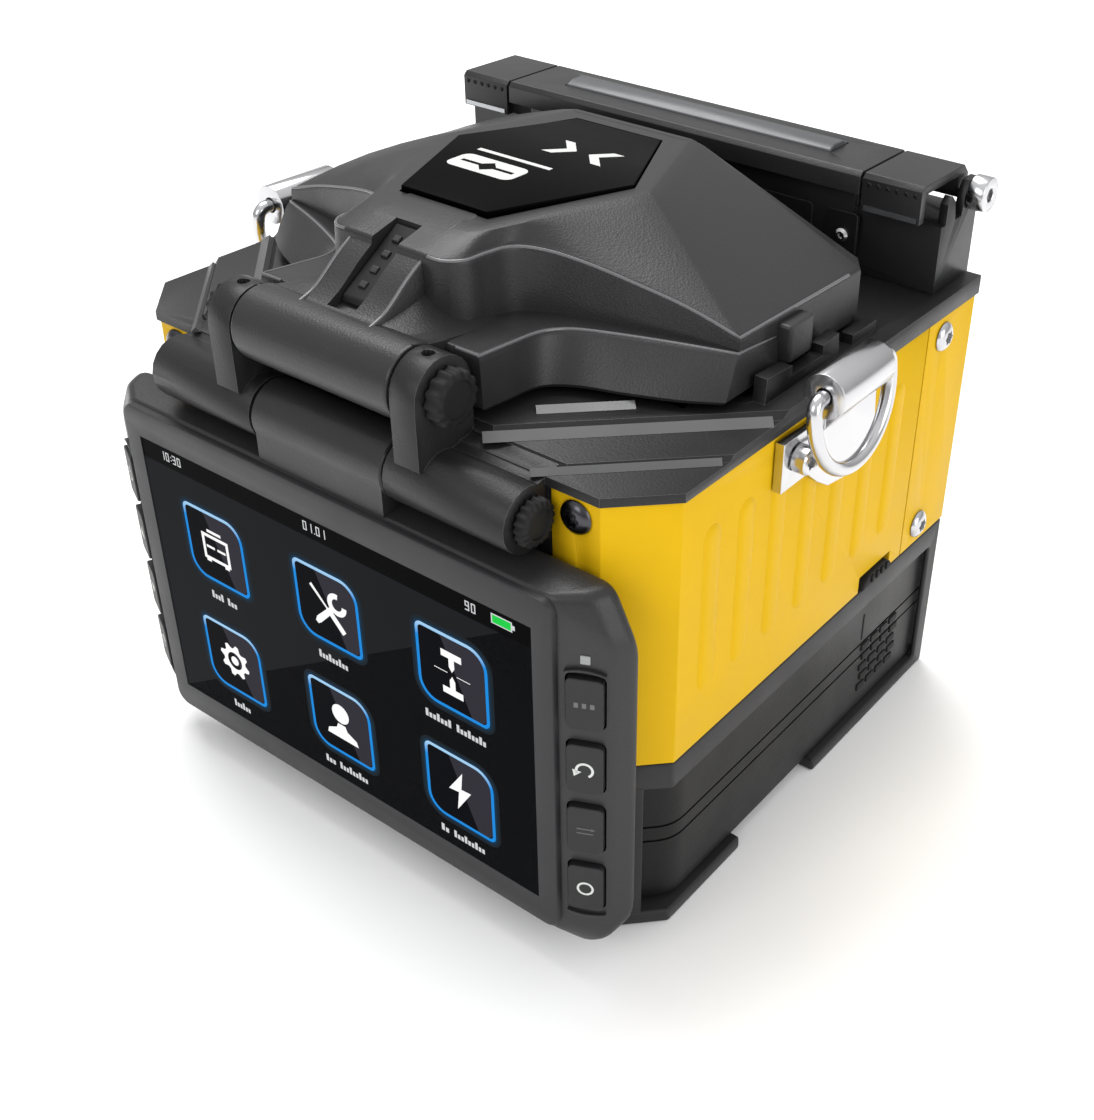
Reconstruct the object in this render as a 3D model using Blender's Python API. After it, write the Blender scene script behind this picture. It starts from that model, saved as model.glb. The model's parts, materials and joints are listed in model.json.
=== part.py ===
"""Fiber fusion splicer: a hand-carried bench unit with a hinged monitor, a hinged wind cover over the
splicing well, a sleeve heater on a rear tower, strap rings and a slide-out battery.

Lengths in this file are millimetres and angles are degrees. The mesh helpers turn them into metres.
X runs across the monitor, Y runs from the monitor (-Y) to the heater (+Y), and Z is up.
The origin is the centre of the footprint, on the surface that the unit stands on.
"""

import math

import bmesh
import bpy
from mathutils import Matrix, Vector

MM = 0.001
GAP = 0.3            # clearance kept between touching pieces
RUN = 0.1            # radial clearance of a pin that a hinge turns on

# ---------------------------------------------------------------- driving dimensions
HALF_WIDTH = 69.0    # body, centre to side face
FRONT = -55.2        # body front face
REAR = 68.0          # body rear face
CORNER = 10.2        # 45 degree chamfer on the two front corners
BASE_TOP = 44.7      # top of the battery frame
PANEL_TOP = 104.5    # top edge of the yellow panels
SHEET = 1.5          # thickness of the yellow sheet
PANEL_SPLIT = 46.0   # where the side panels end and the rear panel begins
FLANGE_X = 47.8      # inner end of a side panel's front flange

RIM_OUT = 0.7        # how far the deck rim stands proud of the panels
RIM_REAR = 68.3
DECK_A, DECK_B, DECK_C, DECK_D = 106.7, 107.8, 109.1, 110.2   # stepped levels of the deck
STEP_B, STEP_C, STEP_D = 102.0, 85.0, 72.0   # each level starts on the 45 degree line y = x - STEP
WELL_X, WELL_FRONT, WELL_REAR, WELL_FLOOR = 54.0, -24.5, 24.5, 97.0

BAY_FLOOR, BAY_ROOF = 3.4, 37.8      # battery bay
BAY_X = 67.6
WINDOW_REAR = 63.2
NOTCH = (-18.0, 13.0)                # gap between the front and the rear foot plate

HINGE_Y, HINGE_Z = -60.5, 100.0      # monitor hinge axis
BARREL_R = 6.6
BARREL_END = 47.0
KNUCKLE_X = 17.4
SHAFT_R = 2.4

COVER_Y, COVER_Z = -59.2, 117.4      # wind cover hinge axis
EAR_R = 7.2
EAR_IN, EAR_OUT = 20.9, 27.0
LIP_R = 7.5
LIP_X = 20.4
COVER_PIN_R = 1.8
COVER_BASE = 110.6

MON_FACE = -66.9                     # front face of the monitor case
MON_BACK = -57.4
MON_LOW, MON_HIGH = 9.6, 92.6
BEZEL_X, BEZEL_LOW, BEZEL_HIGH = 58.4, 10.7, 91.0
BEZEL_FRONT = -68.3
SCREEN_X, SCREEN_LOW, SCREEN_HIGH = 54.0, 17.3, 84.5
SIDE_FACE = ((58.9, MON_FACE), (67.5, -62.9))   # plan line of the slanted button face
BUTTON_Z = (70.2, 54.9, 39.6, 24.3)
BUTTON_SIZE = (7.0, 11.6, 4.2)       # along the face, height, depth
BUTTON_PROUD = 1.2

HEATER_Y, HEATER_Z = 64.4, 129.0     # axis shared by the heater lid and both end clamps
HEATER_FRONT, HEATER_REAR = 45.0, 66.4
LID_X = 49.2
LID_LOW, LID_TOP = 129.4, 134.4
CLAMP_X = (49.8, 63.9)
POST_X = (64.5, 66.4)
TROUGH_Y = 56.5

SPLICE_Z = 106.6                     # height of the fibre line above the ground
STAGE_X = (15.0, 50.0)
CLAMP_HINGE = (8.2, 107.6)           # (y, z) of the sheath clamp hinge

RING_X, RING_Z = 75.4, 112.6         # strap ring pivot
RING_WIRE = 1.5
RING_HALF = 14.2                     # half the width of the D
RING_Y = 0.6                         # middle of the D
EYE_R, EYE_Y = 4.6, (-10.0, 9.0)     # rolled eye of the bracket
RING_TILT = 7.0                      # the hanging ring leans out, against the bracket screw

FLANGE_SCREW = (53.6, 100.6)         # (x, z) of the screw through a side panel's front flange
BRACKET_SCREW = (-10.8, 98.8)        # (y, z) of the screw that holds a strap bracket
SCREW_SPOTS = {                      # side screws of the rear panel: (y, z)
    "top": (53.5, 99.3),
    "bottom": (53.5, 50.0),
}

MATERIALS = {                        # colour, roughness, metallic
    "black_shell": ((0.055, 0.055, 0.057, 1), 0.45, 0.0),
    "deck_black": ((0.022, 0.022, 0.023, 1), 0.5, 0.0),
    "yellow_panel": ((0.80, 0.50, 0.015, 1), 0.42, 0.1),
    "frame_grey": ((0.085, 0.085, 0.088, 1), 0.5, 0.0),
    "rubber": ((0.012, 0.012, 0.012, 1), 0.75, 0.0),
    "steel": ((0.75, 0.75, 0.76, 1), 0.2, 1.0),
    "aluminium": ((0.62, 0.63, 0.64, 1), 0.35, 1.0),
    "screen_glass": ((0.012, 0.012, 0.014, 1), 0.08, 0.0),
    "label_gloss": ((0.004, 0.004, 0.005, 1), 0.1, 0.0),
    "window_smoke": ((0.12, 0.12, 0.125, 1), 0.15, 0.0),
    "circuit_green": ((0.02, 0.12, 0.05, 1), 0.5, 0.0),
    "copper": ((0.55, 0.28, 0.12, 1), 0.35, 1.0),
    "tungsten": ((0.40, 0.40, 0.42, 1), 0.3, 1.0),
}


# ---------------------------------------------------------------- mesh helpers
def clear_scene():
    """Empties the startup scene."""
    for obj in list(bpy.data.objects):
        bpy.data.objects.remove(obj, do_unlink=True)


def material(name):
    """The named Principled material, made the first time that it is asked for."""
    found = bpy.data.materials.get(name)
    if found:
        return found
    colour, roughness, metallic = MATERIALS[name]
    made = bpy.data.materials.new(name)
    made.use_nodes = True
    shader = made.node_tree.nodes["Principled BSDF"]
    shader.inputs["Base Color"].default_value = colour
    shader.inputs["Roughness"].default_value = roughness
    shader.inputs["Metallic"].default_value = metallic
    return made


def new_object(name, bm, finish=None, at=(0, 0, 0)):
    """Links a bmesh in millimetres as an object in metres whose origin is at the point given."""
    bmesh.ops.recalc_face_normals(bm, faces=bm.faces)
    bmesh.ops.translate(bm, vec=-Vector(at), verts=bm.verts)
    bmesh.ops.scale(bm, vec=(MM, MM, MM), verts=bm.verts)
    mesh = bpy.data.meshes.new(name)
    bm.to_mesh(mesh)
    bm.free()
    obj = bpy.data.objects.new(name, mesh)
    obj.location = Vector(at) * MM
    bpy.context.scene.collection.objects.link(obj)
    if finish:
        mesh.materials.append(material(finish))
    mesh.shade_smooth()
    mesh.set_sharp_from_angle(angle=math.radians(35))
    return obj


def loft(loops):
    """A closed solid through loops of the same number of points, capped at both ends."""
    bm = bmesh.new()
    rings = [[bm.verts.new(point) for point in loop] for loop in loops]
    for low, high in zip(rings, rings[1:]):
        for i in range(len(low)):
            j = (i + 1) % len(low)
            bm.faces.new((low[i], low[j], high[j], high[i]))
    bm.faces.new(list(reversed(rings[0])))
    bm.faces.new(rings[-1])
    return bm


def on_axis(point, along, axis):
    """A 2-D point and a distance along an axis as a 3-D point. The 2-D axes keep X, Y, Z order."""
    a, b = point
    return {"x": (along, a, b), "y": (a, along, b), "z": (a, b, along)}[axis]


def prism(outline, start, end, axis="z"):
    """An outline extruded along an axis."""
    return loft([[on_axis(p, along, axis) for p in outline] for along in (start, end)])


def box(low, high):
    """A box between two corners."""
    (x0, y0, z0), (x1, y1, z1) = low, high
    return prism([(x0, y0), (x1, y0), (x1, y1), (x0, y1)], z0, z1)


def circle(centre, radius, sides, first=0.0, sweep=360.0):
    """Points on a circle, or on an arc when the sweep is under a full turn."""
    steps = sides if sweep >= 360 else sides - 1
    turns = [math.radians(first + sweep * i / steps) for i in range(sides)]
    return [(centre[0] + radius * math.cos(t), centre[1] + radius * math.sin(t)) for t in turns]


def cylinder(centre, radius, start, end, axis, sides=24):
    """A round bar along an axis. centre is given in the other two axes."""
    return prism(circle(centre, radius, sides), start, end, axis)


def turned(profile, centre, axis, sides=24):
    """A solid of revolution. profile is (distance along the axis, radius) from one end to the other."""
    return loft([[on_axis(p, along, axis) for p in circle(centre, r, sides)] for along, r in profile])


def helper(name, bm):
    """A hidden object that only cuts or adds to another."""
    obj = new_object(name, bm)
    obj.hide_render = True
    obj.display_type = "WIRE"
    return obj


def combine(obj, bm, operation):
    """Adds a Boolean modifier that cuts a bmesh from the object, or joins it on."""
    other = helper(f"{obj.name}_{operation.lower()}_{len(obj.modifiers)}", bm)
    modifier = obj.modifiers.new(operation.title(), "BOOLEAN")
    modifier.operation = operation
    modifier.object = other


def cut(obj, *shapes):
    """Cuts shapes out of an object."""
    for shape in shapes:
        combine(obj, shape, "DIFFERENCE")


def join(obj, *shapes):
    """Joins shapes onto an object."""
    for shape in shapes:
        combine(obj, shape, "UNION")


def turn(bm, angle, centre, axis):
    """Turns a bmesh about a line through a point."""
    where = Matrix.Translation(Vector(centre))
    matrix = where @ Matrix.Rotation(math.radians(angle), 4, axis.upper()) @ where.inverted()
    bmesh.ops.transform(bm, matrix=matrix, verts=bm.verts)
    return bm


def mirrored(outline):
    """A right-hand half outline, front to rear, closed with its mirror image."""
    return outline + [(-p[0], *p[1:]) for p in reversed(outline) if p[0] > 1e-9]


def body_outline(inset=0.0, rear=REAR):
    """The plan of the body with its chamfered front corners, moved inwards by inset."""
    half, front = HALF_WIDTH - inset, FRONT + inset
    corner = CORNER - inset * (2 - math.sqrt(2))
    return mirrored([(half - corner, front), (half, front + corner), (half, rear)])


def side_name(sign):
    """The word used in node names for the +X or the -X side."""
    return "right" if sign > 0 else "left"


# ---------------------------------------------------------------- base and body panels
def base_frame():
    """The lower frame: battery bay with side windows, two foot plates and four panel posts."""
    frame = new_object("base_frame", prism(body_outline(), 0, BASE_TOP - GAP), "frame_grey")
    bay_front = FRONT + 3.0
    cut(
        frame,
        box((-BAY_X, bay_front, BAY_FLOOR), (BAY_X, REAR + 10, BAY_ROOF)),
        box((-90, bay_front, BAY_FLOOR), (90, WINDOW_REAR, BAY_ROOF)),
        box((-90, NOTCH[0], -5), (90, NOTCH[1], BAY_FLOOR + 1)),
        box((-62, FRONT + 8, BAY_ROOF + 3), (62, REAR - 5, BASE_TOP + 5)),
    )
    return frame


def side_panel(sign):
    """A yellow side panel: one bent sheet with a front flange, the corner chamfer and the side."""
    inset = SHEET
    half, inner = HALF_WIDTH, HALF_WIDTH - inset
    corner = half - CORNER
    slope = CORNER - inset * (2 - math.sqrt(2))
    outline = [
        (FLANGE_X, FRONT),
        (corner, FRONT),
        (half, FRONT + CORNER),
        (half, PANEL_SPLIT),
        (inner, PANEL_SPLIT),
        (inner, FRONT + inset + slope),
        (inner - slope, FRONT + inset),
        (FLANGE_X, FRONT + inset),
    ]
    outline = [(sign * x, y) for x, y in outline]
    name = f"side_panel_{side_name(sign)}"
    panel = new_object(name, prism(outline, BASE_TOP, PANEL_TOP), "yellow_panel")
    cut(panel, cylinder((sign * FLANGE_SCREW[0], FLANGE_SCREW[1]), 1.7, FRONT - 3, FRONT + 5, "y", 12))
    bracket_holes = cylinder(BRACKET_SCREW, 1.7, *sorted((sign * 60, sign * 75)), "x", 12)
    cut(panel, bracket_holes)
    if sign > 0:
        cut(panel, box((60, 26.4, 40), (80, 40.6, 48.9)))
    return panel


def rear_panel():
    """The yellow rear panel, wrapped round both rear corners, with cooling slots."""
    front = PANEL_SPLIT + 0.4
    inner, back = HALF_WIDTH - SHEET, REAR - SHEET
    outline = mirrored([(inner, front), (HALF_WIDTH, front), (HALF_WIDTH, REAR)])
    panel = new_object("rear_panel", prism(outline, BASE_TOP, PANEL_TOP), "yellow_panel")
    cut(panel, box((-inner, front - 5, BASE_TOP - 5), (inner, back, PANEL_TOP + 5)))
    for sign in (1, -1):
        for y, z in SCREW_SPOTS.values():
            cut(panel, cylinder((y, z), 1.7, *sorted((sign * 60, sign * 75)), "x", 12))
    for i in range(6):
        x = -25 + 10 * i
        cut(panel, box((x - 1.5, back - 3, 62), (x + 1.5, REAR + 3, 86)))
    return panel


def dome_screw(name, centre, face, axis, sign):
    """A low dome-head screw. face is where its head meets the sheet, and sign is the way it points out."""
    profile = [(face - sign * 8, 1.35), (face + sign * GAP, 1.35), (face + sign * GAP, 3.4)]
    profile += [(face + sign * 1.2, 3.0), (face + sign * 1.6, 1.8)]
    screw = new_object(name, turned(profile, centre, axis, 16), "steel")
    socket = turned([(face + sign * 0.9, 1.0), (face + sign * 3, 1.0)], centre, axis, 6)
    cut(screw, socket)
    return screw


def panel_screws():
    """Six dome-head screws: one through each front flange and two through each rear corner."""
    for sign in (1, -1):
        side = side_name(sign)
        dome_screw(f"front_screw_{side}", (sign * FLANGE_SCREW[0], FLANGE_SCREW[1]), FRONT, "y", -1)
        for level, (y, z) in SCREW_SPOTS.items():
            dome_screw(f"rear_screw_{side}_{level}", (y, z), sign * HALF_WIDTH, "x", sign)


def port_cover():
    """The rubber flap that closes the power and data port at the foot of the right panel."""
    outline = [(26.8, 45.0), (40.2, 45.0), (40.2, 46.6), (37.8, 48.4), (30.2, 48.4), (27.8, 46.6)]
    flap = new_object("port_cover", prism(outline, 65.5, HALF_WIDTH + 0.9, "x"), "rubber")
    return flap


# ---------------------------------------------------------------- top deck
def deck_level(step, inset=0.0):
    """The plan of one deck level, bounded at the front corners by the 45 degree line y = x - step."""
    half = HALF_WIDTH + RIM_OUT - inset
    front = FRONT + 2.6
    return mirrored([(front + step - inset, front), (half, half - step + inset), (half, RIM_REAR)])


def deck_step(step, low, high, slope):
    """One raised level whose 45 degree edge slopes up by slope over its height."""
    outer, inner = deck_level(step), deck_level(step, inset=0.0)
    inner = [(x - math.copysign(slope, x) * 0.7, y + slope * 0.7) if i in (0, 5) else (x, y)
             for i, (x, y) in enumerate(inner)]
    inner[1] = (inner[1][0], inner[1][1] + 1.4 * slope)
    inner[4] = (inner[4][0], inner[4][1] + 1.4 * slope)
    return loft([[(x, y, z) for x, y in loop] for loop, z in ((outer, low), (inner, high))])


def barrel_profile():
    """The (y, z) profile of the hinge housing: a round front that runs back into the deck."""
    nose = circle((HINGE_Y, HINGE_Z), BARREL_R, 12, 265, -200)
    return nose + [(FRONT + 5.6, DECK_B), (FRONT + 5.6, HINGE_Z - BARREL_R)]


def ear_profile():
    """The (y, z) profile of an ear that carries the cover hinge."""
    crown = circle((COVER_Y, COVER_Z), EAR_R, 13, 0, 180)
    return crown + [(COVER_Y - EAR_R, HINGE_Z + 4.5), (COVER_Y + EAR_R, HINGE_Z + 4.5)]


def top_deck():
    """The black top casting: rim, stepped deck, splicing well, hinge housings, ears and cover keepers."""
    rim = body_outline(-RIM_OUT, RIM_REAR)
    deck = new_object("top_deck", prism(rim, PANEL_TOP + GAP, DECK_A), "deck_black")
    inside = body_outline(SHEET + GAP, REAR - SHEET - GAP)
    join(
        deck,
        prism(inside, WELL_FLOOR - 3, PANEL_TOP + 1),
        deck_step(STEP_B, DECK_A - 0.5, DECK_B, 1.2),
        deck_step(STEP_C, DECK_B - 0.5, DECK_C, 2.0),
        box((-FLANGE_X + GAP, FRONT + 0.2, BASE_TOP), (FLANGE_X - GAP, FRONT + 2.4, DECK_A - 0.4)),
    )
    for sign in (1, -1):
        join(deck, prism(barrel_profile(), sign * (KNUCKLE_X + 0.6), sign * BARREL_END, "x"))
        join(deck, prism(ear_profile(), sign * EAR_IN, sign * EAR_OUT, "x"))
        keeper = [(-14.2, 105), (-13.6, 114.4), (-4.8, 113.8), (-4.8, 111.6), (6.6, 111.6),
                  (6.6, 113.6), (12.4, 114.2), (13.6, 105)]
        join(deck, prism(keeper, sign * 62.4, sign * 65.2, "x"))
        x0, x1 = sorted((sign * 62.4, sign * 65.2))
        join(deck, box((x0, 18.5, 105), (x1, 28, 111.4)))
    cut(
        deck,
        box((-WELL_X, WELL_FRONT, WELL_FLOOR), (WELL_X, WELL_REAR, 130)),
        box((-62, 29, WELL_FLOOR - 10), (62, 62, DECK_A - 1.5)),
        box((-62, FRONT + 8, WELL_FLOOR - 10), (62, -28, DECK_A - 4)),
        box((-KNUCKLE_X - 0.6, FRONT - 12, HINGE_Z - 12), (KNUCKLE_X + 0.6, FRONT + 2.6, DECK_D + 2)),
        cylinder((HINGE_Y, HINGE_Z), SHAFT_R + RUN, -60, 60, "x", 16),
        cylinder((COVER_Y, COVER_Z), COVER_PIN_R + RUN, -40, 40, "x", 16),
    )
    for sign in (1, -1):
        cut(deck, cylinder((sign * 24, COVER_Y), 1.3, COVER_Z + EAR_R - 2.5, 130, "z", 12))
        cut(deck, cylinder((sign * FLANGE_SCREW[0], FLANGE_SCREW[1]), 1.7, FRONT - 3, FRONT + 10, "y", 12))
        for spot in (SCREW_SPOTS["top"], BRACKET_SCREW):
            cut(deck, cylinder(spot, 1.7, *sorted((sign * 58, sign * 70)), "x", 12))
    return deck


# ---------------------------------------------------------------- strap rings
def strap_bracket(sign):
    """The bent steel bracket that holds a strap ring: a plate on the side and a rolled eye above it."""
    face = HALF_WIDTH + GAP
    outline = [(-16.0, 92.8), (-6.4, 92.8), (-2.0, 89.0), (2.5, 86.0), (11.0, 84.6), (16.0, 86.3),
               (20.0, 89.5), (20.0, 94.0), (19.0, 103.2), (-16.0, 103.6)]
    plate = prism(outline, sign * face, sign * (face + 2), "x")
    bracket = new_object(f"strap_bracket_{side_name(sign)}", plate, "steel")
    web = [(face + 0.2, 100), (face + 1.8, 100), (RING_X + 4.2, RING_Z - 1), (RING_X - 1.5, RING_Z - 1)]
    web = [(sign * x, z) for x, z in web]
    join(bracket, prism(web, -1, 7.6, "y"))
    join(bracket, cylinder((sign * RING_X, RING_Z), EYE_R, EYE_Y[0], EYE_Y[1], "y", 20))
    cut(bracket, cylinder((sign * RING_X, RING_Z), RING_WIRE + GAP, -30, 30, "y", 16))
    cut(bracket, cylinder(BRACKET_SCREW, 1.7, *sorted((sign * 60, sign * 80)), "x", 12))
    return bracket


def bracket_screw(sign):
    """The socket-head screw that fixes a strap bracket."""
    face = HALF_WIDTH + 2.3 + GAP
    profile = [(sign * (face - 6), 1.35), (sign * face, 1.35), (sign * face, 2.9), (sign * (face + 3), 2.9)]
    screw = new_object(f"bracket_screw_{side_name(sign)}", turned(profile, BRACKET_SCREW, "x", 20), "steel")
    cut(screw, turned([(sign * (face + 1.2), 1.4), (sign * (face + 5), 1.4)], BRACKET_SCREW, "x", 6))
    return screw


def ring_path():
    """The D of the ring in its own plane, as (along Y, downwards), from the middle of the straight bar."""
    half, drop = RING_HALF, 4.0
    shoulder = circle((half - 2.2, 2.2), 2.2, 4, -90, 90)
    turns = [math.radians(a) for a in range(0, 181, 15)]
    bow = [(half * math.cos(t), drop + half * math.sin(t)) for t in turns]
    other = [(-y, down) for y, down in reversed(shoulder)]
    return [(0, 0)] + shoulder + bow + other


def strap_ring(sign):
    """A D-shaped wire ring whose straight bar turns in the bracket's eye. It hangs leaning out."""
    points = ring_path()
    lean = math.radians(RING_TILT)
    bm = bmesh.new()
    loops = []
    for i, (y, down) in enumerate(points):
        before, after = Vector(points[i - 1]), Vector(points[(i + 1) % len(points)])
        along = (after - before).normalized()
        loop = []
        for a in range(8):
            t = 2 * math.pi * a / 8
            across, out = RING_WIRE * math.cos(t), RING_WIRE * math.sin(t)
            py, pd = y + across * along[1], down - across * along[0]
            x = RING_X + pd * math.sin(lean) + out * math.cos(lean)
            z = RING_Z - pd * math.cos(lean) + out * math.sin(lean)
            loop.append(bm.verts.new((sign * x, RING_Y + py, z)))
        loops.append(loop)
    for i, low in enumerate(loops):
        high = loops[(i + 1) % len(loops)]
        for a in range(8):
            b = (a + 1) % 8
            bm.faces.new((low[a], low[b], high[b], high[a]))
    return new_object(f"strap_ring_{side_name(sign)}", bm, "steel", (sign * RING_X, 0, RING_Z))


# ---------------------------------------------------------------- monitor
def face_angle():
    """How far the slanted button face is turned away from the monitor's front, in degrees."""
    (x0, y0), (x1, y1) = SIDE_FACE
    return math.degrees(math.atan2(y1 - y0, x1 - x0))


def face_block(sign, z, size, lift, sunk):
    """A block on the button face: size is (width, height), from sunk below the face to lift above it."""
    (x0, y0), (x1, y1) = SIDE_FACE
    centre = ((x0 + x1) / 2, (y0 + y1) / 2, z)
    width, height = size
    low = (centre[0] - width / 2, centre[1] - lift, z - height / 2)
    high = (centre[0] + width / 2, centre[1] + sunk, z + height / 2)
    block = turn(box(low, high), face_angle(), centre, "z")
    if sign < 0:
        bmesh.ops.scale(block, vec=(-1, 1, 1), verts=block.verts)
        bmesh.ops.reverse_faces(block, faces=block.faces)
    return block


def monitor_loop(half, low, high, y, cut_low, cut_high):
    """One eight-sided section of the monitor case at depth y."""
    right = [(half - cut_low, low), (half, low + cut_low), (half, high - cut_high)]
    right.append((half - cut_high / 2, high))
    return [(x, y, z) for x, z in right + [(-x, z) for x, z in reversed(right)]]


def monitor_case():
    """The monitor's rear case with its slanted button sides and the central hinge knuckle."""
    loops = [
        monitor_loop(SIDE_FACE[0][0], MON_LOW - 0.6, MON_HIGH - 1.2, MON_FACE, 2.0, 3.0),
        monitor_loop(SIDE_FACE[1][0], MON_LOW - 4.4, MON_HIGH - 0.4, SIDE_FACE[1][1], 5.0, 9.0),
        monitor_loop(70.0, MON_LOW - 3.4, MON_HIGH, -59.0, 8.0, 11.0),
        monitor_loop(69.2, MON_LOW + 1.0, MON_HIGH - 0.6, MON_BACK, 8.0, 11.0),
    ]
    case = new_object("monitor_case", loft(loops), "black_shell", (0, HINGE_Y, HINGE_Z))
    join(
        case,
        cylinder((HINGE_Y, HINGE_Z), BARREL_R, -KNUCKLE_X, KNUCKLE_X, "x", 24),
        box((0.4 - KNUCKLE_X, HINGE_Y - 6.1, MON_HIGH - 6), (KNUCKLE_X - 0.4, HINGE_Y + 2.6, HINGE_Z)),
    )
    cut(
        case,
        box((-56.8, MON_FACE - 3, 12.4), (56.8, -59.8, 89.6)),
        cylinder((HINGE_Y, HINGE_Z), SHAFT_R + RUN, -60, 60, "x", 16),
    )
    width, height, depth = BUTTON_SIZE
    for sign in (1, -1):
        for z in BUTTON_Z:
            cut(case, face_block(sign, z, (width + 0.7, height + 0.7), 3, depth - BUTTON_PROUD + 1.3))
    return case


def monitor_bezel():
    """The flat front frame round the screen."""
    corner = 4.0
    right = [(BEZEL_X - corner, BEZEL_LOW), (BEZEL_X, BEZEL_LOW + corner), (BEZEL_X, BEZEL_HIGH - corner),
             (BEZEL_X - corner, BEZEL_HIGH)]
    outline = right + [(-x, z) for x, z in reversed(right)]
    bezel = new_object("monitor_bezel", prism(outline, BEZEL_FRONT, MON_FACE - GAP, "y"), "frame_grey")
    cut(bezel, box((-SCREEN_X, -80, SCREEN_LOW), (SCREEN_X, -50, SCREEN_HIGH)))
    return bezel


def lcd_panel():
    """The display module, with its glass standing up into the bezel's window."""
    back = box((-56.4, MON_FACE + 0.1, 12.8), (56.4, -60.2, 89.2))
    panel = new_object("lcd_panel", back, "screen_glass")
    low = (-SCREEN_X + GAP, BEZEL_FRONT + 0.15, SCREEN_LOW + GAP)
    join(panel, box(low, (SCREEN_X - GAP, MON_FACE + 1, SCREEN_HIGH - GAP)))
    return panel


def monitor_buttons():
    """Four keys on each slanted side."""
    names = {1: ("set", "reset", "heat", "arc"), -1: ("power", "up", "down", "back")}
    width, height, depth = BUTTON_SIZE
    for sign, words in names.items():
        for word, z in zip(words, BUTTON_Z):
            block = face_block(sign, z, (width, height), BUTTON_PROUD, depth - BUTTON_PROUD)
            key = new_object(f"button_{word}", block, "rubber")
            bevel = key.modifiers.new("Bevel", "BEVEL")
            bevel.width = 0.6 * MM
            bevel.segments = 1


def monitor_hinge():
    """The monitor's hinge shaft and its two knurled end caps."""
    reach = BARREL_END - 0.5
    new_object("monitor_hinge_shaft", cylinder((HINGE_Y, HINGE_Z), SHAFT_R, -reach, reach, "x", 16), "steel")
    for sign in (1, -1):
        start = BARREL_END + GAP
        knob = [(sign * start, 4.8), (sign * (start + 1.9), 4.8), (sign * (start + 2.5), 4.0)]
        cap = turned(knob, (HINGE_Y, HINGE_Z), "x", 20)
        new_object(f"monitor_knob_{side_name(sign)}", cap, "rubber")


# ---------------------------------------------------------------- wind cover
def cover_base_plan():
    """Right half of the cover's footprint, front to rear."""
    return [(29.0, -51.2), (30.5, -39.0), (36.0, -33.5), (45.0, -30.0), (54.5, -26.0), (61.0, -21.5),
            (61.0, 24.5), (57.5, 29.0)]


def sloped(plan, height, slope):
    """A plan lifted onto a plane that rises by slope per millimetre of Y and has this height at y = 0."""
    return [(x, y, height + slope * y) for x, y in plan]


def cover_flange_plan():
    """Right half of the flange's upper edge, front to rear."""
    plan = [(29.0, -51.6), (29.6, -38.0), (33.5, -30.0), (42.0, -24.8), (52.0, -20.5), (60.5, -16.3),
            (60.5, 26.0), (57.0, 30.5)]
    return sloped(plan, 117.9, -0.0878)


def cover_hump_loops():
    """The hump's foot, its upper edge and the rim round the label, each as a right half with heights."""
    foot = [(9.0, -46.2), (18.2, -40.4), (18.8, -31.0), (27.0, -25.2), (44.0, -20.2), (60.2, -16.2),
            (60.2, 25.8), (56.8, 30.2)]
    foot = sloped(foot, COVER_BASE + 1.5, 0)
    edge = [(9.0, -45.0, 134.4), (17.2, -39.4, 134.0), (17.8, -30.4, 133.7), (25.6, -24.2, 132.2),
            (43.0, -18.8, 128.0), (60.2, -15.8, 122.2), (60.2, 27.0, 122.4), (57.0, 31.2, 122.6)]
    rim = [(9.0, -36.0), (14.8, -33.4), (18.5, -24.0), (23.0, -14.0), (26.0, -6.0), (28.0, 0.0), (22.0, 18.0),
           (16.4, 31.0)]
    rim = sloped(rim, 137.5, 0.0224)
    return foot, edge, rim


def closed_loop(half):
    """A right half with heights, closed with its mirror image."""
    return half + [(-x, y, z) for x, y, z in reversed(half)]


def tongue_profile():
    """The (y, z) profile of the central tongue, from the hinge lip up to the label."""
    lip = circle((COVER_Y, COVER_Z), LIP_R, 9, 270, -125)
    ridge = [(-54.8, 126.2), (-48.0, 131.2), (-40.0, 135.6), (-34.0, 136.9), (-20.0, 137.2)]
    return lip + ridge + [(-20.0, COVER_BASE + 1), (COVER_Y + 9, COVER_BASE + 1)]


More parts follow.
